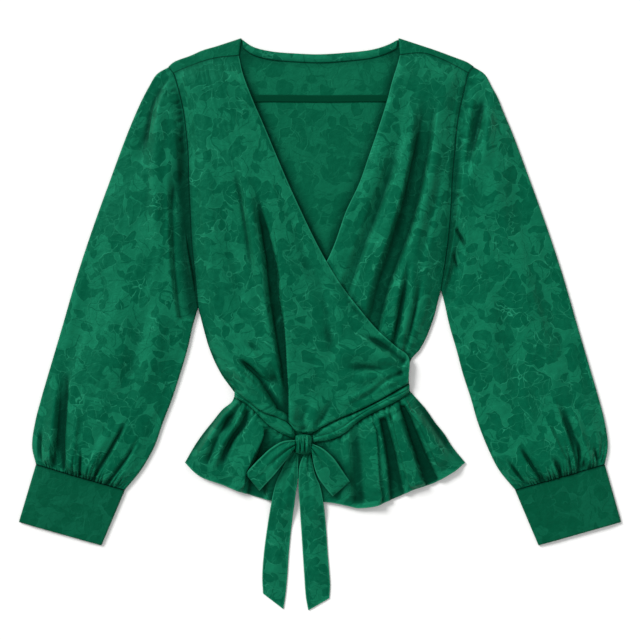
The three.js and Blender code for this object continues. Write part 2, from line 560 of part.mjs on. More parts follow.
function sleeve(name, { armhole, outer, inner, folds, west }) {
  const outwards = (west ? -1 : 1) * ARMHOLE_GAP;
  const [cap, fold, underarm] = [armhole, outer, inner].map((points) => curve(moved(points, outwards)));
  const place = panel({
    top: cap,
    bottom: curve(moved([outer.at(-1), inner.at(-1)], outwards)),
    left: fold,
    right: (v) => underarm(v ** 1.8),
  });
  const edge = (v) => lerp(FRONT_TOP, TUBE_EDGE, smooth(v / 0.1));
  const crown = (x, y, u, v) => {
    const [ax, ay] = place(0, v);
    const [bx, by] = place(1, v);
    const side = Math.min(u, 1 - u) * Math.hypot(bx - ax, by - ay);
    const rise = smooth(side / 34) * smooth(v / 0.12) * lerp(1, 0.35, smooth((v - 0.9) / 0.1));
    const fade = smooth(side / 8) * smooth(v / 0.05) * lerp(1, 0.3, smooth((v - 0.95) / 0.05));
    const high = edge(v) + SLEEVE_PUFF * rise + relief(folds, x, y) * fade;
    return softMax(high, edge(v) - 0.1, 0.4);
  };
  return tube(name, place, crown, edge, ARMHOLE_CELLS, 16);
}

function cuff(name, { outer, inner }) {
  const gap = 0.6 / 77;
  const drop = (points) => {
    const [[ax, ay], [bx, by]] = points;
    return curve([[lerp(ax, bx, gap), lerp(ay, by, gap)], [bx, by]]);
  };
  const [left, right] = [drop(outer), drop(inner)];
  const place = (u, v) => [0, 1].map((k) => lerp(left(v)[k], right(v)[k], u));
  const crown = (x, y, u, v) => TUBE_EDGE + 1.2 * smooth(Math.min(u, 1 - u) / 0.2) * Math.sin(Math.PI * clamp(v));
  return tube(name, place, crown, () => TUBE_EDGE, 6, 4);
}

// A flat band between two long edges, with a soft crease along its middle.
function tie(name, { upper, lower }) {
  const [top, bottom] = [curve(upper), curve(lower)];
  const place = (u, v) => [0, 1].map((k) => lerp(top(u)[k], bottom(u)[k], v));
  const under = (x, y, u, v) => ON_FRONT + 0.1 + 0.9 * Math.sin(Math.PI * v) ** 2;
  return sheet(name, place, under, 14, 4);
}

// A bow loop: one strip that runs out, folds over at its end and comes back on top of itself.
function bowLoop(name, { upper, lower }) {
  const [top, bottom] = [curve(upper), curve(lower)];
  const place = (s, v) => [0, 1].map((k) => lerp(top(s)[k], bottom(s)[k], v));
  const opening = (s) => 1 + 3.4 * Math.sin(Math.PI * clamp(s * 0.9 + 0.05)) ** 2;
  const [along, turns] = [8, 5];
  const [outer, inner] = [[], []];
  const rib = (s, z, thick) => steps(4).map((v) => [...place(s, v), z + 0.5 * Math.sin(Math.PI * v) * thick]);
  const reach = 0.955;
  const low = LOOP_UNDER_Z;
  steps(along).forEach((t) => {
    outer.push(rib(t * reach, low, 0));
    inner.push(rib(t * reach, low + WALL, 0));
  });
  const air = opening(reach);
  const middle = low + WALL + air / 2;
  for (let k = 1; k < turns; k += 1) {
    const angle = -Math.PI / 2 + (Math.PI * k) / turns;
    const far = reach + (1 - reach) * Math.cos(angle);
    const near = reach + (1 - reach) * 0.35 * Math.cos(angle);
    outer.push(rib(far, middle + (WALL + air / 2) * Math.sin(angle), 0));
    inner.push(rib(near, middle + (air / 2) * Math.sin(angle), 0));
  }
  [...steps(along)].reverse().forEach((t) => {
    const ceiling = low + WALL + opening(t * reach);
    outer.push(rib(t * reach, ceiling + WALL, 1 - t));
    inner.push(rib(t * reach, ceiling, 1 - t));
  });
  return shell(name, outer, inner);
}

// A tail leaves the knot over the peplum and comes to rest on the surface below the hem.
function tail(name, { outer, inner, west }) {
  const place = panel({
    top: curve(west ? [outer[0], inner[0]] : [inner[0], outer[0]]),
    bottom: curve(west ? [outer.at(-1), inner.at(-1)] : [inner.at(-1), outer.at(-1)]),
    left: curve(west ? outer : inner),
    right: curve(west ? inner : outer),
  });
  const under = (x, y, u, v) => {
    const rest = lerp(TAIL_UNDER_Z, 0, smooth((TAIL_DROP[0] - y) / (TAIL_DROP[0] - TAIL_DROP[1])));
    const across = Math.sin(Math.PI * u) ** 2;
    return rest + relief(TAIL_FOLDS, x, y) * across * smooth((1 - v) / 0.2);
  };
  return sheet(name, place, under, 6, 20);
}

// The knot: one rounded bundle with the folds of the strip that wraps it.
function knot() {
  const [cx, cy] = KNOT_CENTRE;
  const grid = steps(12).map((v) =>
    steps(12).map((u) => {
      const [a, b] = [2 * u - 1, 2 * v - 1];
      const x = cx + (KNOT_WIDTH / 2) * a * Math.sqrt(1 - 0.28 * b * b);
      const y = cy - (KNOT_LENGTH / 2) * b * Math.sqrt(1 - 0.28 * a * a);
      const dome = Math.sqrt(Math.max(0, (1 - a ** 4) * (1 - b ** 4)));
      return { x, y, dome };
    }),
  );
  const floor = ON_FRONT + 0.2;
  const top = grid.map((row) =>
    row.map(({ x, y, dome }) => {
      const fold = relief(KNOT_FOLDS, x, y) * dome;
      return [x, y, floor + 3 + (KNOT_HIGH_Z - floor - 3) * dome + fold];
    }),
  );
  const bottom = grid.map((row) => row.map(({ x, y }) => [x, y, floor]));
  return shell("knot", top, bottom);
}

const top = new THREE.Group();
top.name = "wrap_top";
top.add(backBodice(), backNeckBinding(), backStayTape(), frontLeft(), frontRight(), backPeplum());
top.add(
  peplumFront("peplum_front_right", {
    top: WAIST_FRONT.filter(([x]) => x < -29),
    hem: PEPLUM_HEM_RIGHT,
    outerEdge: PEPLUM_SIDE_RIGHT,
    centre: CENTRE_FRONT_RIGHT,
    folds: PEPLUM_RIGHT_FOLDS,
    west: true,
  }),
  peplumFront("peplum_front_left", {
    top: [CENTRE_FRONT_LEFT[0], ...WAIST_FRONT.filter(([x]) => x > -9)],
    hem: PEPLUM_HEM_LEFT,
    outerEdge: PEPLUM_SIDE_LEFT,
    centre: CENTRE_FRONT_LEFT,
    folds: PEPLUM_LEFT_FOLDS,
    west: false,
  }),
);
top.add(
  sleeve("sleeve_right", {
    armhole: ARMHOLE_RIGHT,
    outer: SLEEVE_OUTER_RIGHT,
    inner: SLEEVE_INNER_RIGHT,
    folds: SLEEVE_RIGHT_FOLDS,
    west: true,
  }),
  sleeve("sleeve_left", {
    armhole: ARMHOLE_LEFT,
    outer: SLEEVE_OUTER_LEFT,
    inner: SLEEVE_INNER_LEFT,
    folds: SLEEVE_LEFT_FOLDS,
    west: false,
  }),
  cuff("cuff_right", CUFF_RIGHT),
  cuff("cuff_left", CUFF_LEFT),
);
top.add(
  tie("tie_right", TIE_RIGHT),
  tie("tie_left", TIE_LEFT),
  knot(),
  bowLoop("bow_loop_right", LOOP_RIGHT),
  bowLoop("bow_loop_left", LOOP_LEFT),
  tail("tie_tail_right", { ...TAIL_RIGHT, west: true }),
  tail("tie_tail_left", { ...TAIL_LEFT, west: false }),
);

export default top;
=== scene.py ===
"""Long-sleeved wrap top laid flat on its back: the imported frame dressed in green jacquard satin.

Every table is in millimetres in the frame's own axes: the neck points to +Y, the front faces +Z, and the
wearer's right side lies at negative X. Tables run down the garment or along +X. Meshes are written in metres.
"""
import bpy
import numpy as np
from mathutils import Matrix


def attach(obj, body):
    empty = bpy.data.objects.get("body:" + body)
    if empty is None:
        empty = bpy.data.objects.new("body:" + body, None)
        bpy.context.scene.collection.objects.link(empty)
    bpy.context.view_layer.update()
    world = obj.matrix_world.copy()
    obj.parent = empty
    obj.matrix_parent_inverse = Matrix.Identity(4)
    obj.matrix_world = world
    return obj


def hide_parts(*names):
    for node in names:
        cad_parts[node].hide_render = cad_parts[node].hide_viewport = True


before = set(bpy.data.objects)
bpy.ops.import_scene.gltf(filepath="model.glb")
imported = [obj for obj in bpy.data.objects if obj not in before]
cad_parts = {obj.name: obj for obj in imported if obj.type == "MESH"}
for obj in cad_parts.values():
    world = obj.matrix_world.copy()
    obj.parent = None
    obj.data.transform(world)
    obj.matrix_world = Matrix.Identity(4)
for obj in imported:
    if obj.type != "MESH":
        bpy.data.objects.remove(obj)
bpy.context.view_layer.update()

MM = 0.001
BODY = "root"

# Cloth and layers
WALL = 1.3
THIN_WALL = 1.1
CAD_WALL = 1.4
FLAT_WALL = 0.98 * CAD_WALL
SEAM = 0.3
LAYER_AIR = 0.6
ON_BACK = CAD_WALL + SEAM
FRONT_TOP = ON_BACK + CAD_WALL
ON_FRONT = FRONT_TOP + LAYER_AIR

# Made sizes
BINDING_WIDTH = 10
TAPE_WIDTH = 9
TAPE_THICK = 1
TAPE_ENDS = (-95, 95)
TAPE_TOP_Y = 294
FOLD_RADIUS = 1.55
ROLL_TURN = 9
ROLL_UNDER_Z = 6.7
ROLL_HIGH_Z = 13.5
ROLL_LOW_Z = 10.0
ROLL_REACH = 46
TUBE_EDGE = 4.4
SLEEVE_PUFF = 5.5
FRONT_LOFT = 7.0
KNOT_SIZE = (23, 26.5)
KNOT_CENTRE = (-21, -153.2)
KNOT_HIGH_Z = 18
LOOP_UNDER_Z = 8.6
TAIL_UNDER_Z = 4.4
TAIL_DROP = (-228, -264)
HEM_DEPTH = 6
CUFF_WIDTH = 114
CUFF_DEPTH = 77
SLEEVE_WIDTH = 180
SLEEVE_LENGTH = 420
CAP_LENGTH = 300
CUFF_EDGE = 125
PEPLUM_DEPTH = 100
TAIL_WIDTH = 30
TAIL_LENGTH = 200

# Finish: shares and strengths of tones, and heights of the relief in metres
MIDDLE_TONE = 0.45
# Share of the painted highlight along free edges
HIGHLIGHT_RIM_SHARE = 0.7
# Share and darkness of the painted shade in folds, along seams and under the layers above
PAINTED_SHADE_SHARE = 0.92
PAINTED_SHADE_TONE = 0.16
CREASE_HEIGHT = 0.00046
FIGURE_HEIGHT = 0.00014
WEAVE_HEIGHT = 0.00002
RIB_HEIGHT = 0.00006

# Edges of the body
SHOULDER_FOLD_RIGHT = [(-194, 330), (-187, 336), (-166, 344), (-150, 351), (-133, 356), (-101, 366.5)]
SHOULDER_FOLD_LEFT = [(101, 366.5), (133, 356), (148, 351), (175, 341), (188, 336), (196.5, 330.5)]
SHOULDER_SEAM_RIGHT = [(-188, 322.5), (-165, 332), (-152, 337), (-133, 342), (-104, 345)]
SHOULDER_SEAM_LEFT = [(102.5, 346), (133, 348), (157, 340), (175, 331), (190.5, 322.5)]
BACK_NECK = [
    (-101, 366.5), (-88, 358), (-65, 352), (-31, 349), (0, 348), (33, 350), (68, 354), (88, 360),
    (101, 366.5),
]
ARMHOLE_RIGHT = [
    (-194, 330), (-188, 322.5), (-183, 308), (-178.5, 291), (-174.5, 272), (-171.5, 248), (-169, 222),
    (-168, 185), (-166, 141), (-164, 102), (-160, 63), (-156, 22),
]
ARMHOLE_LEFT = [
    (196.5, 330.5), (190.5, 322.5), (186, 306), (181.5, 288), (178, 270), (175, 250), (173, 226),
    (170, 193), (168, 154), (165, 115), (160, 76), (155, 44),
]
SIDE_RIGHT = [(-156, 22), (-150, -2), (-141, -33), (-127, -63), (-109, -88)]
SIDE_LEFT = [
    (155, 44), (151, 29), (147, 13), (142, -2), (136, -17), (127, -33), (116, -46), (114, -63), (114, -82),
]
OVER_NECK = [
    (-104, 345), (-99, 322), (-88, 292), (-72, 255), (-51, 205), (-33, 164), (-8, 111), (8, 81),
    (28, 49), (51, 19), (73, -7), (97, -29), (113, -43), (113, -74),
]
UNDER_NECK = [
    (102.5, 346), (100, 336), (92, 310), (86, 287), (77, 258), (63, 217), (50, 180), (33, 144),
    (19, 104), (8, 80), (-12, 49), (-36, 19), (-60, -7), (-84, -31), (-102, -52), (-104, -84),
]
WAIST_BACK = [(-109, -90), (-55, -95), (0, -97), (55, -93), (114, -84)]
WAIST_FRONT = [
    (-108, -90), (-88, -101), (-70, -113), (-50, -127), (-30, -141), (-8, -144), (14, -138),
    (40, -124), (63, -110), (84, -100), (113, -84),
]
ROLL_EDGE = [
    (-109, -84), (-88, -100), (-74, -111), (-56, -118), (-40, -126), (-29, -137), (-8, -137.5),
    (3, -131.5), (22, -122), (40, -115), (63, -104.5), (84, -93.5), (113, -77),
]
CREASE_FOOT = [(-46, -40), (-43, -66), (-40, -96), (-38.5, -136)]

# Peplum
PEPLUM_SIDE_RIGHT = [
    (-109, -90), (-113, -99), (-125, -109), (-138, -125), (-150, -140), (-161, -156), (-173, -177),
]
PEPLUM_SIDE_LEFT = [(114, -84), (123, -94), (136, -109), (147, -125), (159, -140), (169, -156), (186, -177)]
PEPLUM_HEM_RIGHT = [(-173, -177), (-154, -194), (-125, -205), (-93, -217), (-61, -226), (-34.5, -229)]
PEPLUM_HEM_LEFT = [
    (-24, -227), (13, -228), (35, -232), (49, -235), (72, -232), (87, -226), (106, -218), (118, -212),
    (147, -202), (172, -188), (186, -177),
]
PEPLUM_HEM_BACK = [(-173, -177), (-118, -190), (-58, -196), (0, -198), (58, -197), (120, -191), (186, -177)]
CENTRE_FRONT_RIGHT = [(-30, -141.5), (-34.5, -229)]
CENTRE_FRONT_LEFT = [(-13, -143.5), (-24, -227)]

# Sleeves and cuffs
SLEEVE_OUTER_RIGHT = [
    (-194, 330), (-209, 321), (-219, 305), (-227, 290), (-234, 275), (-247, 244), (-270, 182),
    (-292, 121), (-312, 60), (-330, -2), (-348, -63), (-357, -94), (-365, -125), (-369, -156), (-364, -179),
]
SLEEVE_INNER_RIGHT = [
    (-156, 22), (-163, -2), (-170, -33), (-179, -63), (-189, -94), (-201, -125), (-212, -156),
    (-229, -186), (-250, -212),
]
SLEEVE_OUTER_LEFT = [
    (196.5, 330.5), (211, 321), (220, 305), (228, 290), (234, 275), (247, 244), (270, 182),
    (292, 121), (312, 60), (330, -2), (348, -63), (357, -94), (365, -125), (369, -156), (365, -179),
]
SLEEVE_INNER_LEFT = [
    (155, 44), (159, 29), (166, -2), (175, -33), (183, -63), (193, -94), (202, -125),
    (214, -156), (229, -186), (250, -212),
]
CUFF_RIGHT = dict(outer=[(-364, -179), (-386, -253)], inner=[(-250, -212), (-280, -283)])
CUFF_LEFT = dict(outer=[(365, -179), (386, -253)], inner=[(250, -212), (280, -283)])

# Waist tie, bow loops and tails
TIE_RIGHT = dict(
    upper=[(-109.5, -83), (-88, -95), (-72, -106), (-50, -119), (-32.6, -135)],
    lower=[(-109.5, -93), (-93, -102), (-78, -116), (-65, -129), (-51, -138), (-32.6, -146.5)],
)
TIE_LEFT = dict(
    upper=[(-9.4, -140.5), (4, -131), (22, -121), (38, -115), (65, -103), (88, -90), (114.5, -76)],
    lower=[
        (-9.4, -150.5), (14, -147), (31, -139), (47, -125), (63, -115), (79, -107), (99, -97), (114.5, -86),
    ],
)
LOOP_RIGHT = dict(
    upper=[(-31.5, -147.5), (-47, -149), (-63, -158), (-76, -170), (-86, -180), (-95, -190)],
    lower=[(-31.5, -157), (-41, -170), (-50, -181), (-58, -191), (-68, -202), (-77, -212)],
)
LOOP_LEFT = dict(
    upper=[(-10.5, -152), (3, -158), (17, -170), (27, -184), (38, -200)],
    lower=[(-10.5, -163), (-7, -182), (-2, -195), (7, -208), (16, -219)],
)
TAIL_RIGHT = dict(
    outer=[
        (-33.6, -162), (-42.5, -173), (-50, -188), (-57, -204), (-63, -232), (-68, -263), (-72, -294),
        (-74, -324), (-73, -345),
    ],
    inner=[
        (-27.8, -166), (-28.5, -199), (-31, -217), (-33, -232), (-37, -263), (-40, -294), (-42, -324),
        (-44, -345), (-47, -365),
    ],
)
TAIL_LEFT = dict(
    inner=[
        (-20, -165), (-26, -180), (-27.5, -202), (-27, -217), (-26, -232), (-24, -263), (-22, -294),
        (-20, -324), (-18, -350), (-15, -366.5),
    ],
    outer=[
        (-12, -165), (-6, -192), (0, -206), (5, -232), (8, -263), (10, -294), (12, -318), (13, -335),
        (12, -351),
    ],
)


def both_ends(value):
    """A start and end value, from one number or a pair."""
    return value if isinstance(value, tuple) else (value, value)


def fold(line, height, west, east, fade=0.3, lean=0.0, level=0.0):
    """One fold: its line, its height over the cloth, its reach to each side, the share of its length that
    fades at each end, how far its crest leans over towards the east (or up, on a line along +X), and half
    the width of its level floor or crest. Fade and level may differ from the line's start to its end."""
    ends = dict(fade=both_ends(fade), level=both_ends(level))
    return dict(line=line, height=height, west=west, east=east, lean=lean, **ends)


OVER_FRONT_FOLDS = [
    fold([(-108, 236), (-91, 165), (-80, 92), (-70, 45), (-61, 4), (-55, -40)], 4.0, 7, 6, 0.3, -1.5),
    fold([(-119, 236), (-102, 165), (-91, 98), (-82, 46)], -3.8, 9, 3.5, 0.4),
    fold([(-83, 182), (-75, 142), (-67, 108), (-60, 72), (-55, 31)],
         -9.5, 4.5, 2.4, (0.6, 0.26), 0, (0.2, 4.6)),
    fold([(-63, 90), (-57, 31), (-48, -21), (-43, -53), (-41, -85), (-40, -132)],
         -9.5, 5, 2.4, (0.25, 0.02), 0, (4.6, 1.6)),
    fold([(-66, 166), (-49, 108), (-37.5, 31), (-33, -21), (-31.5, -53), (-29.5, -85), (-29.5, -134)],
         4.0, 3.2, 13, (0.3, 0.03), -9.5, 0.5),
    fold([(-64, -44), (-56, -84), (-46, -126)], -9.0, 9, 4, (0.4, 0.03), 0, (1, 3.5)),
    fold([(-15, -92), (-18, -114), (-22, -140)], -4.6, 2.6, 3, (0.8, 0.05), 0, (0, 1.6)),
    fold([(-26, -96), (-27, -114), (-29, -134)], 2.6, 5, 4, 0.3),
    fold([(-3, -90), (-6, -112), (-12, -136)], 2.6, 4, 5, (0.4, 0.1)),
    fold([(22, -82), (9, -108), (-4, -132)], -3.0, 3.4, 4, (0.8, 0.1)),
    fold([(-110, -40), (-88, -57), (-70, -76), (-55, -100), (-43, -126)],
         -8.0, 3, 3, (0.25, 0.03), 0, (0.3, 1.2)),
    fold([(-112, -56), (-86, -78), (-66, -99), (-46, -126)], 4.6, 5, 4, (0.2, 0.06), 1.5),
    fold([(-92, -28), (-72, -50), (-58, -78)], 3.0, 7, 6, 0.35),
    fold([(-100, -20), (-80, -34), (-66, -52)], -3.0, 4, 5, 0.35),
    fold([(30, -104), (60, -90), (88, -70), (110, -60)], -3.6, 3, 3, (0.3, 0.1)),
    fold([(20, -104), (48, -94), (78, -78), (108, -68)], 2.6, 4, 5, 0.25),
    fold([(26, -22), (66, -36), (108, -47)], 3.6, 10, 8, 0.35),
    fold([(44, -4), (80, -28), (111, -50)], -3.4, 4, 4, (0.4, 0.05)),
    fold([(14, -52), (60, -56), (108, -57)], -2.8, 5, 6, (0.4, 0.05)),
    fold([(40, -70), (74, -66), (106, -62)], 2.4, 6, 7, 0.35),
    fold([(-152, 262), (-147, 180), (-140, 90), (-130, 14)], 2.6, 14, 10, 0.3),
    fold([(-124, 196), (-116, 130), (-106, 60), (-96, -6)], -3.0, 8, 9, 0.35),
    fold([(-58, 196), (-38, 130), (-16, 70), (2, 16)], -2.0, 8, 10, 0.35),
    fold([(-44, 190), (-22, 132), (0, 84), (22, 40)], 1.6, 8, 8, 0.35),
    fold([(-16, 96), (2, 44), (12, -14), (8, -72)], -2.6, 8, 8, 0.35),
    fold([(2, 62), (20, 12), (30, -36), (26, -84)], 2.4, 10, 12, 0.35),
    fold([(-158, 60), (-146, 20), (-128, -22)], -2.6, 5, 7, 0.35),
]
UNDER_FRONT_FOLDS = [
    fold([(141, 296), (137, 262), (127, 200), (112, 134), (97, 89), (83, 49), (68, -14)],
         -10.0, 8, 3.6, (0.35, 0.02), 0, (6.5, 2.6)),
    fold([(160, 262), (149, 208), (134, 146), (119, 92), (104, 46), (92, 2)],
         3.0, 5, 7, (0.4, 0.1), -1.5, 1),
    fold([(128, 290), (112, 222), (97, 160), (79, 104), (64, 60)], 4.0, 9, 5, 0.3, 3.0),
    fold([(112, 268), (96, 214), (78, 160), (56, 104), (30, 30)],
         -4.6, 6, 3.2, (0.45, 0.04), 0, (0.3, 2.2)),
    fold([(92, 262), (82, 226), (64, 172), (46, 126)], 2.2, 8, 6, 0.35),
    fold([(163, 226), (152, 176), (138, 120), (126, 76)], -2.6, 5, 4, (0.4, 0.4)),
    fold([(124, 84), (116, 34), (103, -24)], 3.0, 4, 4, (0.4, 0.1)),
    fold([(120, 104), (108, 40), (92, -42)], -5.4, 3, 2.6, (0.6, 0.03), 0, (0.2, 1.5)),
    fold([(133, 70), (122, 20), (106, -46)], -4.0, 2.6, 2.4, (0.6, 0.04), 0, (0.2, 0.8)),
    fold([(140, 50), (134, 16), (122, -18)], 2.4, 4, 4, 0.3),
    fold([(94, 300), (84, 262), (70, 226)], 2.0, 8, 8, 0.4),
]
PEPLUM_RIGHT_FOLDS = [
    fold([(-100, -98), (-113, -119), (-128, -144)], -6.0, 3.2, 3.6, (0.1, 0.4), 0, (0.4, 1.6)),
    fold([(-90, -106), (-100, -129), (-111, -143), (-120, -159), (-132, -194)],
         -7.0, 3.2, 4, (0.06, 0.25), 0, (0.5, 2.2)),
    fold([(-98, -103), (-116, -136), (-128, -160), (-141, -194)], 2.6, 5, 4, (0.3, 0.3), 1.5),
    fold([(-74, -122), (-81, -146), (-92, -168), (-101, -188), (-104, -218)], 4.6, 10, 3, (0.2, 0.06), 6.5),
    fold([(-64, -130), (-70, -158), (-80, -190), (-84, -226)], -7.5, 3, 6, (0.1, 0.05), 0, (2, 7)),
    fold([(-122, -116), (-140, -146), (-156, -176)], 2.4, 5, 6, 0.3),
    fold([(-114, -112), (-134, -150), (-148, -188)], -3.4, 3.4, 4.5, (0.1, 0.3)),
]
PEPLUM_LEFT_FOLDS = [
    fold([(60, -112), (65, -143), (70, -209), (77, -236)], 4.6, 10, 3, (0.3, 0.05), 6.5),
    fold([(79, -116), (90, -165), (98, -217), (101, -234)], -9.0, 2.4, 3.6, (0.05, 0.03), 0, (1.2, 8)),
    fold([(95, -104), (108, -150), (127, -209)], 5.4, 2.4, 2.4, (0.2, 0.05), -2.5, (2.5, 8)),
    fold([(105, -102), (121, -146), (144, -206)], -8.0, 2.2, 3.6, (0.05, 0.05), 0, (0.9, 6)),
    fold([(106, -95), (127, -118), (147, -159), (160, -188)], 4.6, 4, 8, (0.2, 0.2), -3.0),
    fold([(120, -96), (146, -130), (172, -172)], -3.6, 3.4, 4.5, (0.1, 0.3)),
    fold([(26, -128), (30, -170), (34, -232)], 2.4, 8, 5, (0.2, 0.1), 2.0),
    fold([(42, -126), (46, -170), (50, -236)], -4.0, 4, 5, (0.1, 0.1), 0, (0.5, 3)),
    fold([(6, -140), (6, -180), (8, -228)], -3.4, 4, 5, 0.15),
    fold([(102, -98), (105, -110), (110, -126)], -3.6, 1.6, 1.8, (0.1, 0.5)),
    fold([(96, -101), (98, -112), (101, -124)], 2.4, 1.8, 1.8, (0.1, 0.5)),
    fold([(88, -104), (90, -118), (94, -134)], -3.4, 1.6, 2.2, (0.1, 0.5)),
    fold([(112, -94), (119, -106), (128, -120)], -3.2, 1.6, 2.2, (0.1, 0.5)),
]
SLEEVE_RIGHT_FOLDS = [
    fold([(-203, 306), (-208, 240), (-209, 154), (-204, 60)], 4.2, 7, 7, 0.3, -1.0),
    fold([(-199, 324), (-214, 286), (-226, 237), (-240, 174)], -5.5, 7, 5, (0.15, 0.5), 0, 1.5),
    fold([(-186, 214), (-184, 170), (-181, 110), (-176, 56), (-167, 4)],
         -9.0, 5, 8, (0.3, 0.05), 0, (1.5, 6)),
    fold([(-322, -47), (-326, -94), (-330, -140), (-331, -188)], -8.0, 6, 2.4, (0.4, 0.04), 0, (0.6, 3.4)),
    fold([(-334, -60), (-340, -120), (-343, -180)], 2.8, 7, 4, (0.3, 0.1)),
    fold([(-240, -110), (-262, -150), (-292, -202)], -4.4, 2, 2.4, (0.5, 0.03), 0, (0.1, 0.8)),
    fold([(-228, -140), (-248, -172), (-275, -208)], -4.0, 2, 2.2, (0.5, 0.03), 0, (0.1, 0.6)),
    fold([(-262, -126), (-280, -158), (-301, -200)], 2.6, 5, 4, (0.4, 0.1)),
    fold([(-309, -90), (-314, -140), (-318, -190)], 3.0, 7, 4, (0.4, 0.1), 1.0),
    fold([(-358, -130), (-359, -156), (-358, -180)], -5.0, 1.8, 2.4, (0.5, 0.05)),
    fold([(-343, -150), (-341, -170), (-340, -184)], -5.0, 1.8, 2.4, (0.5, 0.05)),
    fold([(-304, -156), (-306, -178), (-307, -194)], -3.6, 1.6, 2.0, (0.5, 0.05)),
    fold([(-250, 70), (-262, -20), (-278, -96)], 2.6, 16, 12, 0.35),
    fold([(-286, 70), (-300, 0), (-312, -70)], -2.4, 10, 12, 0.35),
    fold([(-196, 50), (-210, -30), (-230, -106)], 2.6, 12, 9, 0.35),
    fold([(-222, 40), (-236, -40), (-252, -104)], -2.4, 8, 10, 0.35),
    fold([(-246, 200), (-254, 140), (-262, 90)], 1.8, 14, 12, 0.4),
]
SLEEVE_LEFT_FOLDS = [
    fold([(204, 292), (199, 250), (191, 214), (182, 176)], -6.0, 4.5, 4, (0.2, 0.4), 0, 1.8),
    fold([(217, 284), (212, 240), (206, 190)], 3.4, 4, 8, 0.3, 1.0),
    fold([(207, 316), (206, 282), (198, 246), (184, 204)], -4.0, 7, 7, (0.4, 0.5), 0, 1.0),
    fold([(226, 288), (228, 206), (220, 110)], 2.4, 12, 14, 0.35),
    fold([(176, 168), (182, 158), (194, 146)], -3.2, 2, 2.6, (0.1, 0.7)),
    fold([(173, 124), (183, 106), (196, 84)], -4.0, 2.2, 3.0, (0.1, 0.7)),
    fold([(172, 142), (177, 136), (184, 130)], -2.4, 1.8, 2, (0.1, 0.7)),
    fold([(170, 92), (175, 76), (184, 60)], -3.0, 2, 2.6, (0.1, 0.7)),
    fold([(180, 190), (179, 130), (172, 70), (164, 20)], -3.0, 4, 6, (0.3, 0.1), 0, (0.5, 2)),
    fold([(298, -80), (314, -122), (327, -160), (334, -190)], -6.0, 2.2, 6, (0.45, 0.04), 0, (0.4, 2.6)),
    fold([(250, -146), (268, -176), (290, -208)], -5.0, 2, 2.2, (0.5, 0.03), 0, (0.1, 0.8)),
    fold([(234, -164), (252, -190), (271, -212)], -4.6, 1.8, 2, (0.5, 0.03), 0, (0.1, 0.6)),
    fold([(296, -164), (304, -184), (311, -202)], -5.5, 2.2, 2.8, (0.5, 0.05)),
    fold([(350, -150), (354, -170), (357, -184)], -5.0, 1.8, 2.4, (0.5, 0.05)),
    fold([(322, -110), (336, -150), (347, -186)], 2.8, 5, 5, (0.3, 0.1)),
    fold([(284, -116), (302, -156), (320, -194)], 2.8, 6, 3.4, (0.3, 0.1), 1.5),
    fold([(246, 90), (262, 0), (280, -80)], 2.6, 12, 14, 0.35),
    fold([(282, 90), (298, 10), (316, -56)], -2.4, 10, 10, 0.35),
    fold([(204, 44), (222, -40), (244, -116)], 2.6, 9, 10, 0.35),
    fold([(228, 56), (242, -20), (260, -96)], -2.4, 8, 9, 0.35),
    fold([(244, 210), (254, 150), (262, 96)], -1.8, 12, 12, 0.4),
]
TAIL_FOLDS = [
    fold([(-31, -172), (-48, -230), (-55, -290), (-57, -345)], 1.8, 8, 8, 0.2),
    fold([(-14, -172), (-9, -240), (-4, -300), (-2, -345)], 1.8, 8, 8, 0.2),
    fold([(-36, -172), (-44, -205), (-52, -250)], -1.4, 3, 3, 0.3),
    fold([(-16, -172), (-14, -205), (-12, -250)], -1.4, 3, 3, 0.3),
]


def smooth(t):
    """Eased step: 0 below 0, 1 above 1, 3t² - 2t³ between."""
    t = np.clip(t, 0.0, 1.0)
    return t * t * (3.0 - 2.0 * t)


def bell(x, centre, width):
    """Bell curve: e to the power of -((x - centre) / width)²."""
    return np.exp(-(((x - centre) / width) ** 2))


def quarter_round(t):
    """Quarter circle: √(1 - (1 - t)²), 0 below 0 and 1 above 1."""
    return np.sqrt(1.0 - (1.0 - np.clip(t, 0.0, 1.0)) ** 2)


def soft_max(a, b, round_off=0.6):
    """The larger of two heights, rounded where they cross: the mean plus half the softened distance."""
    return (a + b + np.hypot(a - b, round_off)) / 2.0


class Edge:
    """Smooth line through table points, read by the share of its length.

    Each stretch is a cubic whose end slopes follow the neighbouring points, spaced by the square root of
    their distance (a centripetal Catmull-Rom curve)."""

    def __init__(self, points, cuts=24):
        known = np.array(points, float)
        padded = np.vstack([2 * known[0] - known[1], known, 2 * known[-1] - known[-2]])
        gaps = np.sqrt(np.linalg.norm(np.diff(padded, axis=0), axis=1))[:, None]
        a, b, c, d = padded[:-3], padded[1:-2], padded[2:-1], padded[3:]
        g0, g1, g2 = gaps[:-2], gaps[1:-1], gaps[2:]
        slope_b = ((b - a) / g0 - (c - a) / (g0 + g1) + (c - b) / g1) * g1
        slope_c = ((c - b) / g1 - (d - b) / (g1 + g2) + (d - c) / g2) * g1
        t = (np.arange(cuts) / cuts)[None, :, None]
        b, c, slope_b, slope_c = (part[:, None, :] for part in (b, c, slope_b, slope_c))
        body = (
            b + slope_b * t + (3 * (c - b) - 2 * slope_b - slope_c) * t**2
            + (2 * (b - c) + slope_b + slope_c) * t**3
        )
        self.points = np.vstack([body.reshape(-1, 2), known[-1]])
        lengths = np.linalg.norm(np.diff(self.points, axis=0), axis=1)
        self.shares = np.concatenate([[0.0], np.cumsum(lengths)]) / lengths.sum()

    def __call__(self, share):
        share = np.clip(share, 0.0, 1.0)
        return np.stack([np.interp(share, self.shares, self.points[:, k]) for k in (0, 1)], -1)


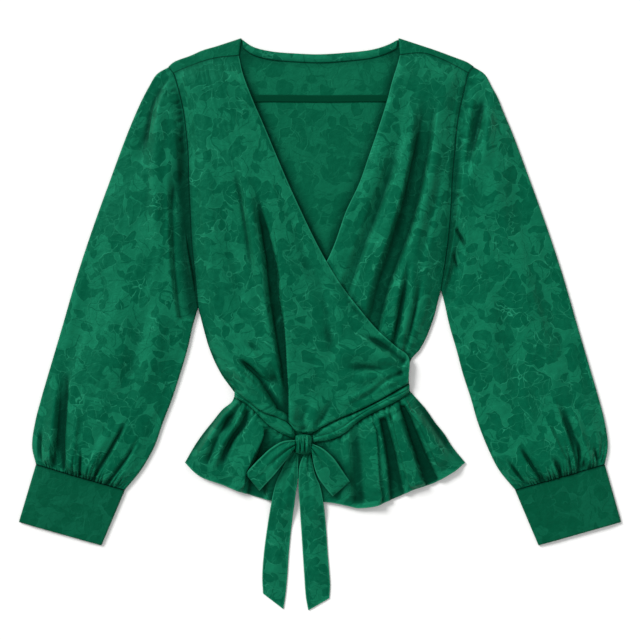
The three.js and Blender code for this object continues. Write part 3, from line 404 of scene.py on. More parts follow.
def chain(*pieces):
    """Several edges end to end, each with the share of the whole at which it stops."""
    edges = [Edge(points) for points, _ in pieces]
    stops = [stop for _, stop in pieces]
    starts = [0.0] + stops[:-1]

    def at(share):
        share = np.asarray(share, float)
        out = np.zeros(share.shape + (2,))
        for edge, start, stop in zip(edges, starts, stops):
            mine = (share >= start) & (share <= stop)
            out[mine] = edge((share[mine] - start) / (stop - start))
        return out

    return at


def panel(top, bottom, left, right):
    """Plan of a panel between four edges (a Coons patch): the blend of top and bottom plus the blend of
    left and right, less the blend of the four corners."""

    def place(u, v):
        u1, v1 = u[..., None], v[..., None]
        a, b, c, d = (edge(np.array(share)) for edge in (top, bottom) for share in (0.0, 1.0))
        flat = (a * (1 - u1) + b * u1) * (1 - v1) + (c * (1 - u1) + d * u1) * v1
        return top(u) * (1 - v1) + bottom(u) * v1 + left(v) * (1 - u1) + right(v) * u1 - flat

    return place


def edge_x(table, y):
    """X of an edge that runs down the garment, at height y."""
    points = Edge(table).points[::-1]
    return np.interp(y, np.maximum.accumulate(points[:, 1]), points[:, 0])


def edge_y(table, x):
    """Y of an edge that runs along +X, at x."""
    points = Edge(table).points
    return np.interp(x, np.maximum.accumulate(points[:, 0]), points[:, 1])


def lattice_noise(x, y, seed):
    """Smooth random heights from -1 to 1: random values on a unit lattice, eased between its corners."""
    size = 97
    values = np.random.default_rng(seed).uniform(-1.0, 1.0, (size, size))
    xi, yi = np.floor(x).astype(int), np.floor(y).astype(int)
    fx, fy = smooth(x - xi), smooth(y - yi)

    def corner(dx, dy):
        return values[(xi + dx) % size, (yi + dy) % size]

    low = corner(0, 0) * (1 - fx) + corner(1, 0) * fx
    high = corner(0, 1) * (1 - fx) + corner(1, 1) * fx
    return low * (1 - fy) + high * fy


def drape(across, along, seed, width=17.0, length=150.0):
    """Long faint folds that run down the cloth: noise stretched along it, in two sizes, swayed sideways."""
    sway = 6.0 * lattice_noise(across / 90.0, along / 70.0, seed + 1)
    wide = lattice_noise((across + sway) / width, along / length, seed + 2)
    fine = lattice_noise((across + sway) / (0.45 * width), along / (0.5 * length), seed + 3)
    return wide + 0.4 * fine


def crumple(x, y, seed):
    """Small soft creases in every direction: ridges where slow noise crosses zero, in two sizes."""
    turned = 0.8 * x + 0.6 * y, 0.8 * y - 0.6 * x
    large = 1.0 - np.abs(lattice_noise(turned[0] / 26.0, turned[1] / 34.0, seed)) * 2.0
    small = 1.0 - np.abs(lattice_noise(x / 11.0, y / 15.0, seed + 7)) * 2.0
    return 0.6 * large + 0.4 * small


def lay_folds(folds, x, y):
    """Height and sideways pull of all folds at x, y: each is full on its line, bell-shaped across it and
    faded at its ends. The pull carries the crest along the line's own normal."""
    height, pull = np.zeros_like(x), np.zeros(x.shape + (2,))
    for one in folds:
        line = Edge(one["line"], cuts=8).points
        reach = 2.0 * max(one["west"], one["east"]) + max(one["level"])
        near = (
            (x > line[:, 0].min() - reach) & (x < line[:, 0].max() + reach)
            & (y > line[:, 1].min() - reach) & (y < line[:, 1].max() + reach)
        )
        if not near.any():
            continue
        spots = np.stack([x[near], y[near]], -1)
        start, step = line[:-1], np.diff(line, axis=0)
        away = spots[:, None, :] - start[None]
        t = np.clip((away * step).sum(-1) / (step**2).sum(-1), 0.0, 1.0)
        gap = np.linalg.norm(away - t[..., None] * step, axis=-1)
        best = gap.argmin(1)
        rows = np.arange(len(best))
        side = step[best, 0] * away[rows, best, 1] - step[best, 1] * away[rows, best, 0]
        width = np.where(side > 0, one["east"], one["west"])
        share = (best + t[rows, best]) / len(step)
        level = one["level"][0] + (one["level"][1] - one["level"][0]) * share
        bell = smooth(1.0 - np.maximum(gap[rows, best] - level, 0.0) / (2.0 * width))
        bell *= smooth(share / one["fade"][0]) * smooth((1.0 - share) / one["fade"][1])
        normal = np.stack([-step[best, 1], step[best, 0]], -1)
        normal /= np.linalg.norm(normal, axis=-1, keepdims=True)
        height[near] += one["height"] * bell
        pull[near] += one["lean"] * bell[:, None] * normal
    return height, pull


def tucks(across, away, width, count, reach, depth, seed, lean=0.0):
    """Gathers that start at a seam: narrow grooves at uneven places, most of them short and a few long,
    each with its own depth and slant, that widen and fade away from the seam."""
    rng = np.random.default_rng(seed)
    centres = (np.arange(count) + 0.5 + rng.uniform(-0.34, 0.34, count)) * width / count
    lengths = reach * (0.18 + 0.82 * rng.uniform(0.0, 1.0, count) ** 2.6)
    depths = depth * rng.uniform(0.5, 1.0, count)
    slants = rng.uniform(-0.14, 0.14, count)
    total = np.zeros_like(across)
    for centre, length, deep, slant in zip(centres, lengths, depths, slants):
        middle = centre + (slant + (centre / width - 0.5) * lean) * away
        narrow = 0.21 * width / count * (1.0 + away / 18.0)
        groove = bell(across, middle, narrow) * smooth(1.15 - away / length)
        total = np.minimum(total, -deep * groove) - 0.25 * deep * groove
    return total


def stations(count, span, rounded=(0.35, 0.9, 1.8)):
    """Shares of a span: even steps, with a few close ones at both ends for a rounded rim."""
    close = np.array(rounded) / span
    middle = np.linspace(close[-1], 1.0 - close[-1], count)
    return np.concatenate([[0.0], close[:-1], middle, 1.0 - close[-2::-1], [1.0]])


def shell_quads(rows, columns, ring=False, used=None):
    """Corner numbers of a closed shell: the outer grid, the inner grid turned round, and walls where a
    used cell has no used neighbour."""
    cells = (rows - 1, columns if ring else columns - 1)
    used = np.ones(cells, bool) if used is None else used
    i, j = np.nonzero(used)
    k = (j + 1) % columns
    a, b, c, d = i * columns + j, (i + 1) * columns + j, (i + 1) * columns + k, i * columns + k
    inside = rows * columns
    framed = np.pad(used, 1)
    if ring:
        framed[:, 0], framed[:, -1] = framed[:, -2], framed[:, 1]
    faces = [np.stack([a, b, c, d], -1), np.stack([d, c, b, a], -1) + inside]
    for p, q, joined in (
        (a, b, framed[i + 1, j]),
        (b, c, framed[i + 2, j + 1]),
        (c, d, framed[i + 1, j + 2]),
        (d, a, framed[i, j + 1]),
    ):
        faces.append(np.stack([q, p, p + inside, q + inside], -1)[~joined])
    return np.vstack(faces)


def beside(tables, x, y, reach):
    """Soft shade cast by the layers above: 1 on their edges, 0 at the given distance from them."""
    nearest = np.full(x.shape, np.inf)
    for table in tables:
        line = Edge(table, cuts=6).points
        for (ax, ay), (bx, by) in zip(line[:-1], line[1:]):
            dx, dy = bx - ax, by - ay
            t = np.clip(((x - ax) * dx + (y - ay) * dy) / (dx * dx + dy * dy), 0, 1)
            nearest = np.minimum(nearest, np.hypot(x - ax - t * dx, y - ay - t * dy))
    return np.clip(1 - nearest / reach, 0, 1) ** 1.5


def volume_of(points, quads):
    """Signed volume inside the faces: a sixth of the sum of each triangle's triple product."""
    a, b, c, d = (points[quads[:, k]] for k in range(4))
    return (np.einsum("ij,ij->i", a, np.cross(b, c)) + np.einsum("ij,ij->i", a, np.cross(c, d))).sum() / 6.0


def write_piece(name, points, quads, uv, painted_shade, material, rim=None):
    """Puts millimetre points into a mesh object in metres, faces outwards, with its cloth coordinates, the
    painted shade of each point (from folds, seams and the layers above) and the painted highlight of its
    rims."""
    if volume_of(points, quads) < 0:
        quads = quads[:, ::-1]
    kept, quads = np.unique(quads, return_inverse=True)
    quads = quads.reshape(-1, 4)
    rim = np.zeros(len(points)) if rim is None else rim
    points, uv, painted_shade, rim = points[kept], uv[kept], painted_shade[kept], rim[kept]
    mesh = bpy.data.meshes.new(name + "_cloth")
    mesh.vertices.add(len(points))
    mesh.vertices.foreach_set("co", (points * MM).astype(np.float32).ravel())
    mesh.loops.add(quads.size)
    mesh.loops.foreach_set("vertex_index", quads.astype(np.int32).ravel())
    mesh.polygons.add(len(quads))
    mesh.polygons.foreach_set("loop_start", np.arange(0, quads.size, 4, dtype=np.int32))
    mesh.update(calc_edges=True)
    mesh.polygons.foreach_set("use_smooth", np.ones(len(quads), bool))
    layer = mesh.uv_layers.new(name="Cloth")
    layer.data.foreach_set("uv", (uv[quads.ravel()] * MM).astype(np.float32).ravel())
    for title, values in (("Painted_Shade", painted_shade), ("Highlight_Rim", rim)):
        mesh.attributes.new(title, "FLOAT", "POINT").data.foreach_set("value", values.astype(np.float32))
    mesh.materials.append(material)
    mesh.validate()
    piece = bpy.data.objects.new(name + "_cloth", mesh)
    bpy.context.scene.collection.objects.link(piece)
    return piece


def blurred(heights, cells, axis, ring):
    """Running mean of heights over twice the given number of cells, along one axis of the grid."""
    cells = int(max(1, cells))
    pad = [(0, 0), (0, 0)]
    pad[axis] = (cells + 1, cells)
    total = np.cumsum(np.pad(heights, pad, mode="wrap" if ring else "edge"), axis)
    count = heights.shape[axis]
    high, low = np.arange(count) + 2 * cells + 1, np.arange(count)
    return (np.take(total, high, axis) - np.take(total, low, axis)) / (2 * cells + 1)


def hollows(grid, ring=False, reach=9.0, full=2.6):
    """How deep each point lies below the mean of its surroundings, from 0 to 1 at the given depth."""
    z = grid[..., 2]
    spacing = [np.median(np.linalg.norm(np.diff(grid, axis=axis), axis=-1)) for axis in (0, 1)]
    mean = z
    for _ in range(2):
        for axis in (0, 1):
            cells = min(round(reach / spacing[axis]), z.shape[axis] // 4)
            mean = blurred(mean, cells, axis, ring and axis == 1)
    return smooth(((mean - z) - 0.25) / full)


def normals_of(grid, ring):
    """Unit normals of a grid of points: the cross product of its two directions."""
    if ring:
        across = np.roll(grid, -1, 1) - np.roll(grid, 1, 1)
    else:
        across = np.gradient(grid, axis=1)
    along = np.gradient(grid, axis=0)
    normal = np.cross(along, across)
    return normal / np.maximum(np.linalg.norm(normal, axis=-1, keepdims=True), 1e-9)


def cloth_lengths(grid):
    """Cloth coordinates of a grid: its plan, let out by the extra length that folds take up across and
    along it, counted from the middle."""
    steps = []
    for axis in (1, 0):
        step = np.diff(grid, axis=axis)
        extra = np.linalg.norm(step, axis=-1) - np.linalg.norm(step[..., :2], axis=-1)
        extra = np.cumsum(np.insert(extra, 0, 0.0, axis=axis), axis=axis)
        extra -= np.take(extra, [grid.shape[axis] // 2], axis=axis)
        way = np.sign(np.median(step[..., 1 - axis]))
        steps.append(extra * way)
    return np.stack([grid[..., 0] + steps[0], grid[..., 1] + steps[1]], -1)


def cloth(name, middle, material, wall=WALL, ring=False, used=None, uv=None, rims=1.0, reach=9.0, full=2.6,
          pale="", ditch="", shade=0.0):
    """A thin shell round its middle surface: each point is moved half the wall along the normal to either
    side, and less towards open rims, which rounds them. pale names the free edges that get a painted
    highlight, and ditch the sewn edges that lie in a seam and get painted shade along it, by the first
    letters of top, bottom, start and end. shade is the painted shade of each point, from the layers above
    it and from deep creases; used leaves cells out, rims is how far in from its sides the wall grows, and
    reach and full say how hollows are measured for the painted shade in folds."""
    rows, columns = middle.shape[:2]
    rim, seam = np.zeros((rows, columns)), np.zeros((rows, columns))
    # Painted highlight on the free edges named by pale, painted shade along the sewn edges named by ditch
    for letter, line in (("s", middle[:, :1]), ("e", middle[:, -1:]), ("b", middle[-1:]), ("t", middle[:1])):
        gap = np.linalg.norm(middle - line, axis=-1)
        if letter in pale:
            rim = np.maximum(rim, smooth(1.5 - gap / 1.3))
        if letter in ditch:
            seam = np.maximum(seam, 0.75 * smooth(1.3 - gap / 1.1) + 0.25 * smooth(1 - gap / 7.0))
    half = np.full((rows, columns, 1), wall / 2.0)
    if rims and not ring:
        steps = np.linalg.norm(np.diff(middle, axis=1), axis=-1)
        far = np.concatenate([np.zeros((rows, 1)), np.cumsum(steps, 1)], 1)
        gap = np.minimum(far, far[:, -1:] - far)
        half[..., 0] *= 0.25 + 0.75 * quarter_round(gap / rims)
    normal = normals_of(middle, ring)
    points = np.vstack([(middle + normal * half).reshape(-1, 3), (middle - normal * half).reshape(-1, 3)])
    uv = cloth_lengths(middle) if uv is None else uv
    # Painted shade of each point: from its depth in a fold, from sewn seams and from the layers above
    depth = 1 - (1 - hollows(middle, ring, reach, full)) * (1 - np.clip(seam, 0, 1)) * (1 - shade)
    quads = shell_quads(rows, columns, ring, used)
    uv, depth, rim = np.tile(uv.reshape(-1, 2), (2, 1)), np.tile(depth.ravel(), 2), np.tile(rim.ravel(), 2)
    return write_piece(name, points, quads, uv, depth, material, rim)


def tube(name, upper, lower, material, **looks):
    """Cloth of a flattened tube: its upper and lower faces joined to a ring, with the wall inside them."""
    skin = np.concatenate([upper, lower], 1)
    normal = normals_of(skin, True)
    outwards = np.sign(normal[len(upper) // 2, upper.shape[1] // 2, 2])
    uv = np.concatenate([cloth_lengths(upper), cloth_lengths(lower) * (-1, 1)], 1)
    return cloth(name, skin - normal * (WALL / 2) * outwards, material, ring=True, uv=uv, **looks)


# Materials

class Finish:
    """A material under construction: adds nodes, sets their plain inputs and links the rest. times_plus is
    a factor + added, below is 1 where a < limit, size is |a|, and step eases from 0 at low to 1 at high."""

    def __init__(self, name):
        self.material = bpy.data.materials.new(name)
        self.material.use_nodes = True
        self.tree = self.material.node_tree
        self.shader = self.tree.nodes["Principled BSDF"]

    def node(self, kind, sockets=(), **settings):
        made = self.tree.nodes.new(kind)
        for key, value in settings.items():
            setattr(made, key, value)
        for key, value in dict(sockets).items():
            self.give(made.inputs[key], value)
        return made

    def give(self, socket, value):
        if isinstance(value, bpy.types.NodeSocket):
            self.tree.links.new(value, socket)
        else:
            socket.default_value = value

    def surface(self, inputs):
        for key, value in inputs.items():
            self.give(self.shader.inputs[key], value)
        return self.material

    def math(self, operation, *values, clamp=False):
        return self.node("ShaderNodeMath", enumerate(values), operation=operation, use_clamp=clamp).outputs[0]

    def times(self, a, b):
        return self.math("MULTIPLY", a, b)

    def minus(self, a, b):
        return self.math("SUBTRACT", a, b)

    def larger(self, a, b):
        return self.math("MAXIMUM", a, b)

    def times_plus(self, a, factor, added, clamp=False):
        return self.math("MULTIPLY_ADD", a, factor, added, clamp=clamp)

    def below(self, a, limit):
        return self.math("LESS_THAN", a, limit)

    def size(self, a):
        return self.math("ABSOLUTE", a)

    def step(self, value, low, high):
        sockets = {"Value": value, "From Min": low, "From Max": high}
        return self.node("ShaderNodeMapRange", sockets, interpolation_type="SMOOTHSTEP").outputs["Result"]

    def noise(self, place, scale, detail, roughness=0.5):
        sockets = {"Vector": place, "Scale": scale, "Detail": detail, "Roughness": roughness}
        return self.node("ShaderNodeTexNoise", sockets, noise_dimensions="2D").outputs

    def wave(self, place, scale, direction, distortion, detail=2.0):
        sockets = {"Vector": place, "Scale": scale, "Distortion": distortion, "Detail": detail}
        return self.node("ShaderNodeTexWave", sockets, bands_direction=direction).outputs["Fac"]

    def cells(self, place, **settings):
        sockets = {"Vector": place, "Scale": 1.0, "Randomness": settings.pop("randomness", 1.0)}
        return self.node("ShaderNodeTexVoronoi", sockets, voronoi_dimensions="2D", **settings).outputs

    def mix(self, factor, a, b):
        made = self.node("ShaderNodeMix", data_type="RGBA")
        self.give(made.inputs["Factor"], factor)
        self.give(made.inputs[6], a)
        self.give(made.inputs[7], b)
        return made.outputs[2]

    def vector(self, operation, a, b):
        return self.node("ShaderNodeVectorMath", enumerate((a, b)), operation=operation).outputs[0]

    def bump(self, height):
        return self.node("ShaderNodeBump", {"Height": height, "Strength": 1.0, "Distance": 1.0}).outputs[0]


def linear(red, green, blue):
    """Display colour 0 to 255 as linear light."""
    shares = np.array([red, green, blue]) / 255.0
    light = np.where(shares <= 0.04045, shares / 12.92, ((shares + 0.055) / 1.055) ** 2.4)
    return (*light.tolist(), 1.0)


def scaled(colour, factor):
    """The same colour, its light multiplied by a factor."""
    return tuple(factor * part for part in colour[:3]) + (1.0,)


def scattered(finish, uv, cell, seed, sway):
    """Splits the cloth into irregular cells of about the given size. The cloth is first bent by a slow
    noise, so that nothing in a cell is straight. Returns the bent cloth, the place in the cell, measured
    from its centre and turned at random, and the cell's three random numbers."""
    turned = finish.node("ShaderNodeMapping", {
        "Vector": uv, "Location": (seed * 3.17, seed * 1.73, 0.0), "Rotation": (0.0, 0.0, seed * 0.7),
        "Scale": (1.0 / cell,) * 3,
    }).outputs[0]
    slow = finish.noise(turned, 1.1, 2.5)["Color"]
    shift = finish.vector("SUBTRACT", slow, (0.5, 0.5, 0.5))
    shift = finish.node("ShaderNodeVectorMath", {0: shift, "Scale": sway}, operation="SCALE").outputs[0]
    bent = finish.vector("ADD", turned, shift)
    cells = finish.cells(bent, randomness=0.9)
    chance = finish.node("ShaderNodeSeparateColor", {0: cells["Color"]}).outputs
    local = finish.vector("SUBTRACT", bent, cells["Position"])
    turn = {"Vector": local, "Angle": finish.times(chance[0], 6.2832)}
    return bent, finish.node("ShaderNodeVectorRotate", turn, rotation_type="Z_AXIS").outputs[0], chance


def leaves(finish, local, slim):
    """A curved pointed leaf along the cell's own axis: |x + bend| < slim (1 - t²)(1 + 0.4 t), t = y / 0.66.
    Returns how far inside it a point lies, and its midrib with slanting side veins."""
    axes = finish.node("ShaderNodeSeparateXYZ", {0: local}).outputs
    bend = finish.times_plus(finish.times(axes[1], axes[1]), 0.45, -0.05)
    side = finish.size(finish.math("ADD", axes[0], bend))
    t = finish.math("DIVIDE", axes[1], 0.66)
    belly = finish.minus(1.0, finish.times(t, t))
    belly = finish.times(belly, finish.times_plus(t, 0.4, 1.0))
    inside = finish.minus(finish.times(belly, slim), side)
    rib = finish.step(side, 0.030, 0.006)
    slant = finish.math("PINGPONG", finish.times_plus(side, -0.9, axes[1]), 0.09)
    branch = finish.times(finish.step(slant, 0.022, 0.004), 0.5)
    return inside, finish.times(finish.larger(rib, branch), finish.step(inside, 0.0, 0.05))


def flowers(finish, local, size):
    """An open five-petalled flower: r < size (0.55 + 0.45 √|cos 2.5 angle|). Returns how far inside it a
    point lies, and the lines between its petals and round its eye."""
    axes = finish.node("ShaderNodeSeparateXYZ", {0: local}).outputs
    around = finish.math("ARCTAN2", axes[1], axes[0])
    lobes = finish.size(finish.math("COSINE", finish.times(around, 2.5)))
    radius = finish.times_plus(finish.math("SQRT", lobes), 0.45 * size, 0.55 * size)
    reach = finish.node("ShaderNodeVectorMath", {0: local}, operation="LENGTH").outputs["Value"]
    inside = finish.minus(radius, reach)
    between = finish.times(finish.step(lobes, 0.30, 0.06), finish.step(reach, 0.05, 0.12))
    eye = finish.step(finish.size(finish.minus(reach, 0.07)), 0.025, 0.006)
    return inside, finish.times(finish.larger(between, eye), finish.step(inside, 0.0, 0.05))


def laid_over(finish, tone, mask, value):
    """The tone with a motif over it: tone + mask (value - tone)."""
    return finish.times_plus(mask, finish.minus(value, tone), tone)


def leaf_layer(finish, uv, tone, lines, cell, seed, slim, share, sway):
    """Lays a layer of leaves over the figure: most of them dark and some light, with dark veins. They hide
    the pale lines below them, and the dark ones have a pale rim."""
    _, place, chance = scattered(finish, uv, cell, seed, sway)
    leaf, veins = leaves(finish, place, slim)
    shown = finish.below(chance[1], share)
    mask = finish.times(finish.step(leaf, 0.0, 0.02), shown)
    either = finish.times_plus(finish.step(chance[2], 0.60, 0.72), 0.45, 0.10)
    tone = laid_over(finish, tone, mask, finish.times_plus(chance[2], 0.25, either))
    tone = laid_over(finish, tone, finish.times(veins, mask), 0.12)
    lines = finish.times(lines, finish.minus(1.0, mask))
    rim = finish.times(finish.step(finish.size(leaf), 0.019, 0.004), shown)
    rim = finish.times(rim, finish.below(chance[2], 0.66))
    return tone, finish.larger(lines, finish.times(rim, 0.9))


def flower_layer(finish, uv, tone, lines):
    """Lays dark flowers over the figure, with pale rims and petal lines."""
    _, place, chance = scattered(finish, uv, 0.045, 1.0, 0.6)
    bloom, petals = flowers(finish, place, 0.50)
    mask = finish.times(finish.step(bloom, 0.0, 0.015), finish.below(chance[1], 0.6))
    tone = laid_over(finish, tone, mask, finish.times_plus(chance[2], 0.25, 0.10))
    rim = finish.times(finish.step(finish.size(bloom), 0.024, 0.004), mask)
    return tone, finish.larger(lines, finish.larger(rim, finish.times(petals, mask)))


def jacquard(finish, uv):
    """The woven figure, tone on tone, from 0 for dark to 1 for light: an uneven lighter ground, layers of
    leaves that overlap as foliage does, flowers among them, and thin broken tendrils on top. Returns tone
    and pale lines."""
    tone = finish.times_plus(finish.step(finish.noise(uv, 30.0, 3.0)[0], 0.3, 0.6), 0.32, 0.5)
    tone, lines = leaf_layer(finish, uv, tone, 0.0, cell=0.038, seed=3.0, slim=0.42, share=0.85, sway=0.7)
    tone, lines = flower_layer(finish, uv, tone, lines)
    tone, lines = leaf_layer(finish, uv, tone, lines, cell=0.026, seed=4.0, slim=0.38, share=0.7, sway=0.6)
    tone, lines = leaf_layer(finish, uv, tone, lines, cell=0.016, seed=7.0, slim=0.32, share=0.55, sway=0.6)
    bent, _, _ = scattered(finish, uv, 0.029, 11.0, 1.1)
    net = finish.cells(bent, feature="DISTANCE_TO_EDGE")["Distance"]
    gaps = finish.step(finish.noise(uv, 48.0, 2.0)[0], 0.46, 0.60)
    lines = finish.larger(lines, finish.times(finish.step(net, 0.020, 0.004), gaps))
    fine = finish.minus(finish.noise(uv, 130.0, 2.0)[0], 0.5)
    return finish.times_plus(fine, 0.4, tone, clamp=True), lines


def satin(name, dark, light, line, contrast=1.0):
    """Green jacquard satin: a tone-on-tone figure, the light tone a little glossier, thin pale lines that
    stand slightly proud, a fine weave and soft creases, with painted shade down in folds, along seams and
    under the layers above, and a painted highlight along free edges."""
    finish = Finish(name)
    uv = finish.node("ShaderNodeUVMap", uv_map="Cloth").outputs[0]
    painted_shade = finish.node("ShaderNodeAttribute", attribute_name="Painted_Shade").outputs["Fac"]
    rim = finish.node("ShaderNodeAttribute", attribute_name="Highlight_Rim").outputs["Fac"]
    tone, lines = jacquard(finish, uv)
    gaps = finish.step(finish.noise(uv, 21.0, 2.0)[0], 0.35, 0.65)
    lines = finish.times(lines, finish.times_plus(gaps, 0.7, 0.3))
    colour = finish.mix(finish.times_plus(tone, contrast, MIDDLE_TONE * (1 - contrast)), dark, light)
    colour = finish.mix(finish.times(lines, contrast), colour, line)
    # Painted highlight: a pale line along free edges, where the folded cloth would catch the light
    colour = finish.mix(finish.times(rim, HIGHLIGHT_RIM_SHARE), colour, line)
    # Painted shade: folds, seams and the layers above darken the colour towards a dark copy of the ground
    colour = finish.mix(finish.times(painted_shade, PAINTED_SHADE_SHARE), colour, scaled(dark, PAINTED_SHADE_TONE))
    crease = finish.step(finish.noise(uv, 95.0, 4.0, 0.55)[0], 0.2, 0.8)
    raised = finish.times_plus(tone, FIGURE_HEIGHT, finish.times(crease, CREASE_HEIGHT))
    raised = finish.times_plus(lines, FIGURE_HEIGHT, raised)
    raised = finish.times_plus(finish.wave(uv, 420.0, "DIAGONAL", 1.5, 1.0), WEAVE_HEIGHT, raised)
    return finish.surface({
        "Base Color": colour, "Normal": finish.bump(raised),
        "Roughness": finish.times_plus(tone, -0.14, 0.58),
        "Specular IOR Level": 0.5, "Specular Tint": (0.01, 0.5, 0.28, 1.0),
        "Sheen Weight": 0.06, "Sheen Roughness": 0.4, "Sheen Tint": linear(10, 180, 120),
    })


def tape_cloth(name, colour):
    """Plain dark woven tape: fine cross ribs."""
    finish = Finish(name)
    uv = finish.node("ShaderNodeUVMap", uv_map="Cloth").outputs[0]
    ribs = finish.wave(uv, 300.0, "X", 0.4)
    return finish.surface({
        "Base Color": finish.mix(finish.times(ribs, 0.25), colour, scaled(colour, 1.5)),
        "Normal": finish.bump(finish.times(ribs, RIB_HEIGHT)), "Roughness": 0.72,
        "Specular IOR Level": 0.2, "Specular Tint": (0.03, 0.5, 0.3, 1.0),
    })


def pale_floor(name):
    """Near-white matt paper with a trace of tooth."""
    finish = Finish(name)
    spot = finish.node("ShaderNodeTexCoord").outputs["Object"]
    tooth = finish.node("ShaderNodeTexNoise", {"Vector": spot, "Scale": 60.0, "Detail": 2.0}).outputs[0]
    return finish.surface({
        "Base Color": finish.mix(tooth, linear(251, 251, 250), linear(254, 254, 253)), "Roughness": 0.9,
        "Specular IOR Level": 0.1,
    })


SATIN = satin("jacquard satin", linear(1, 75, 51), linear(20, 111, 80), linear(34, 127, 95))
INSIDE = satin("satin, wrong side", linear(3, 77, 52), linear(15, 99, 70), linear(20, 106, 76))
CUFF = satin("pressed satin", linear(2, 69, 45), linear(13, 89, 63), linear(15, 92, 66), contrast=0.9)
TAPE = tape_cloth("woven tape", linear(1, 55, 35))


# Heights of the layers, in millimetres over the surface

def tape_rise(x, y):
    """The fronts step over the ends of the back stay tape."""
    along = smooth((np.abs(y - (TAPE_TOP_Y - TAPE_WIDTH / 2)) - TAPE_WIDTH / 2 - 1) / 7)
    past = smooth((np.abs(x) - TAPE_ENDS[1] - 1.5) / 8)
    return (TAPE_THICK + 0.1) * (1 - np.maximum(along, past))


def settle(lifted):
    """Keeps a lifted height above its base, with a rounded foot."""
    return soft_max(0.0, lifted) * smooth((lifted + 1) / 1.5)


def under_front_low(x, y):
    """Lower face of the under front; it lies flat where the over front covers it."""
    shown = smooth((x - edge_x(OVER_NECK, y) + 13) / 11)
    from_arm = smooth((edge_x(ARMHOLE_LEFT[1:] + SIDE_LEFT[1:], y) - x) / 26)
    from_top = smooth((340 - y) / 34)
    loft = FRONT_LOFT * (1 - 0.35 * smooth((-y - 10) / 50))
    height, pull = lay_folds(UNDER_FRONT_FOLDS, x, y)
    lifted = (loft + height) * shown * from_arm * from_top
    return ON_BACK + tape_rise(x, y) + settle(lifted) * shown, pull * (shown * from_arm)[..., None]


def over_front_low(x, y):
    """Lower face of the over front: on the back, over the under front, and up over the tie at the waist."""
    covers = smooth((x - edge_x(UNDER_NECK, y) + 13) / 12)
    past_under = smooth((x - edge_x(UNDER_NECK, y) + 70) / 90)
    from_arm = smooth((x - edge_x(ARMHOLE_RIGHT[1:] + SIDE_RIGHT[1:], y)) / 26)
    from_top = smooth((340 - y) / 34)
    neck_gap = edge_x(OVER_NECK, y) - x
    bottom = edge_y(ROLL_EDGE, x)
    roll = smooth(1 - (y - bottom) / ROLL_REACH)
    sides = smooth((x + 114) / 20) * smooth((122 - x) / 40)
    high = ROLL_HIGH_Z + (ROLL_LOW_Z - ROLL_HIGH_Z) * smooth((x + 20) / 60)
    base = ON_BACK + tape_rise(x, y)
    height, pull = lay_folds(OVER_FRONT_FOLDS, x, y)
    loft = 2.0 * past_under + FRONT_LOFT * (0.85 + 0.15 * smooth(neck_gap / 30))
    lifted = (loft + height) * from_arm * from_top
    flat = base + settle(lifted)
    rolled = flat + (high - CAD_WALL + 0.8 * height - flat) * roll * sides
    clear = covers * (under_front_low(x, y)[0] + CAD_WALL + LAYER_AIR + 1.2 * smooth(1 - neck_gap / 12))
    over_tie = (ROLL_UNDER_Z + CAD_WALL + 0.4) * smooth(1 - (y - bottom - 6) / 10)
    return soft_max(soft_max(rolled, clear, 0.3), over_tie, 0.3), pull * from_arm[..., None]


def grid_of(rows, columns):
    """Every pair of a row's share v and a column's share u."""
    return np.meshgrid(columns, rows)


def spread(place, rows, columns):
    """A grid on a panel: its shares u and v, its plan points, and their x and y."""
    u, v = grid_of(rows, columns)
    plan = place(u, v)
    return u, v, plan, plan[..., 0], plan[..., 1]


def lift(plan, height, pull=0.0):
    """Plan points with their height as one array, after the sideways pull of leaning folds."""
    return np.concatenate([plan + pull, height[..., None]], -1)


def turned_rows(edge, inwards, radius, top, low, turns):
    """Rows of points round a folded edge, one for each angle: edge + inwards · radius (1 - cos angle), at
    the mean of the two heights plus half their gap · sin angle."""
    rows = []
    for angle in np.radians(turns):
        height = (top + low) / 2 + (top - low) / 2 * np.sin(angle)
        rows.append(lift(edge + inwards * radius * (1 - np.cos(angle)), height * np.ones(len(edge))))
    return rows


# Pieces

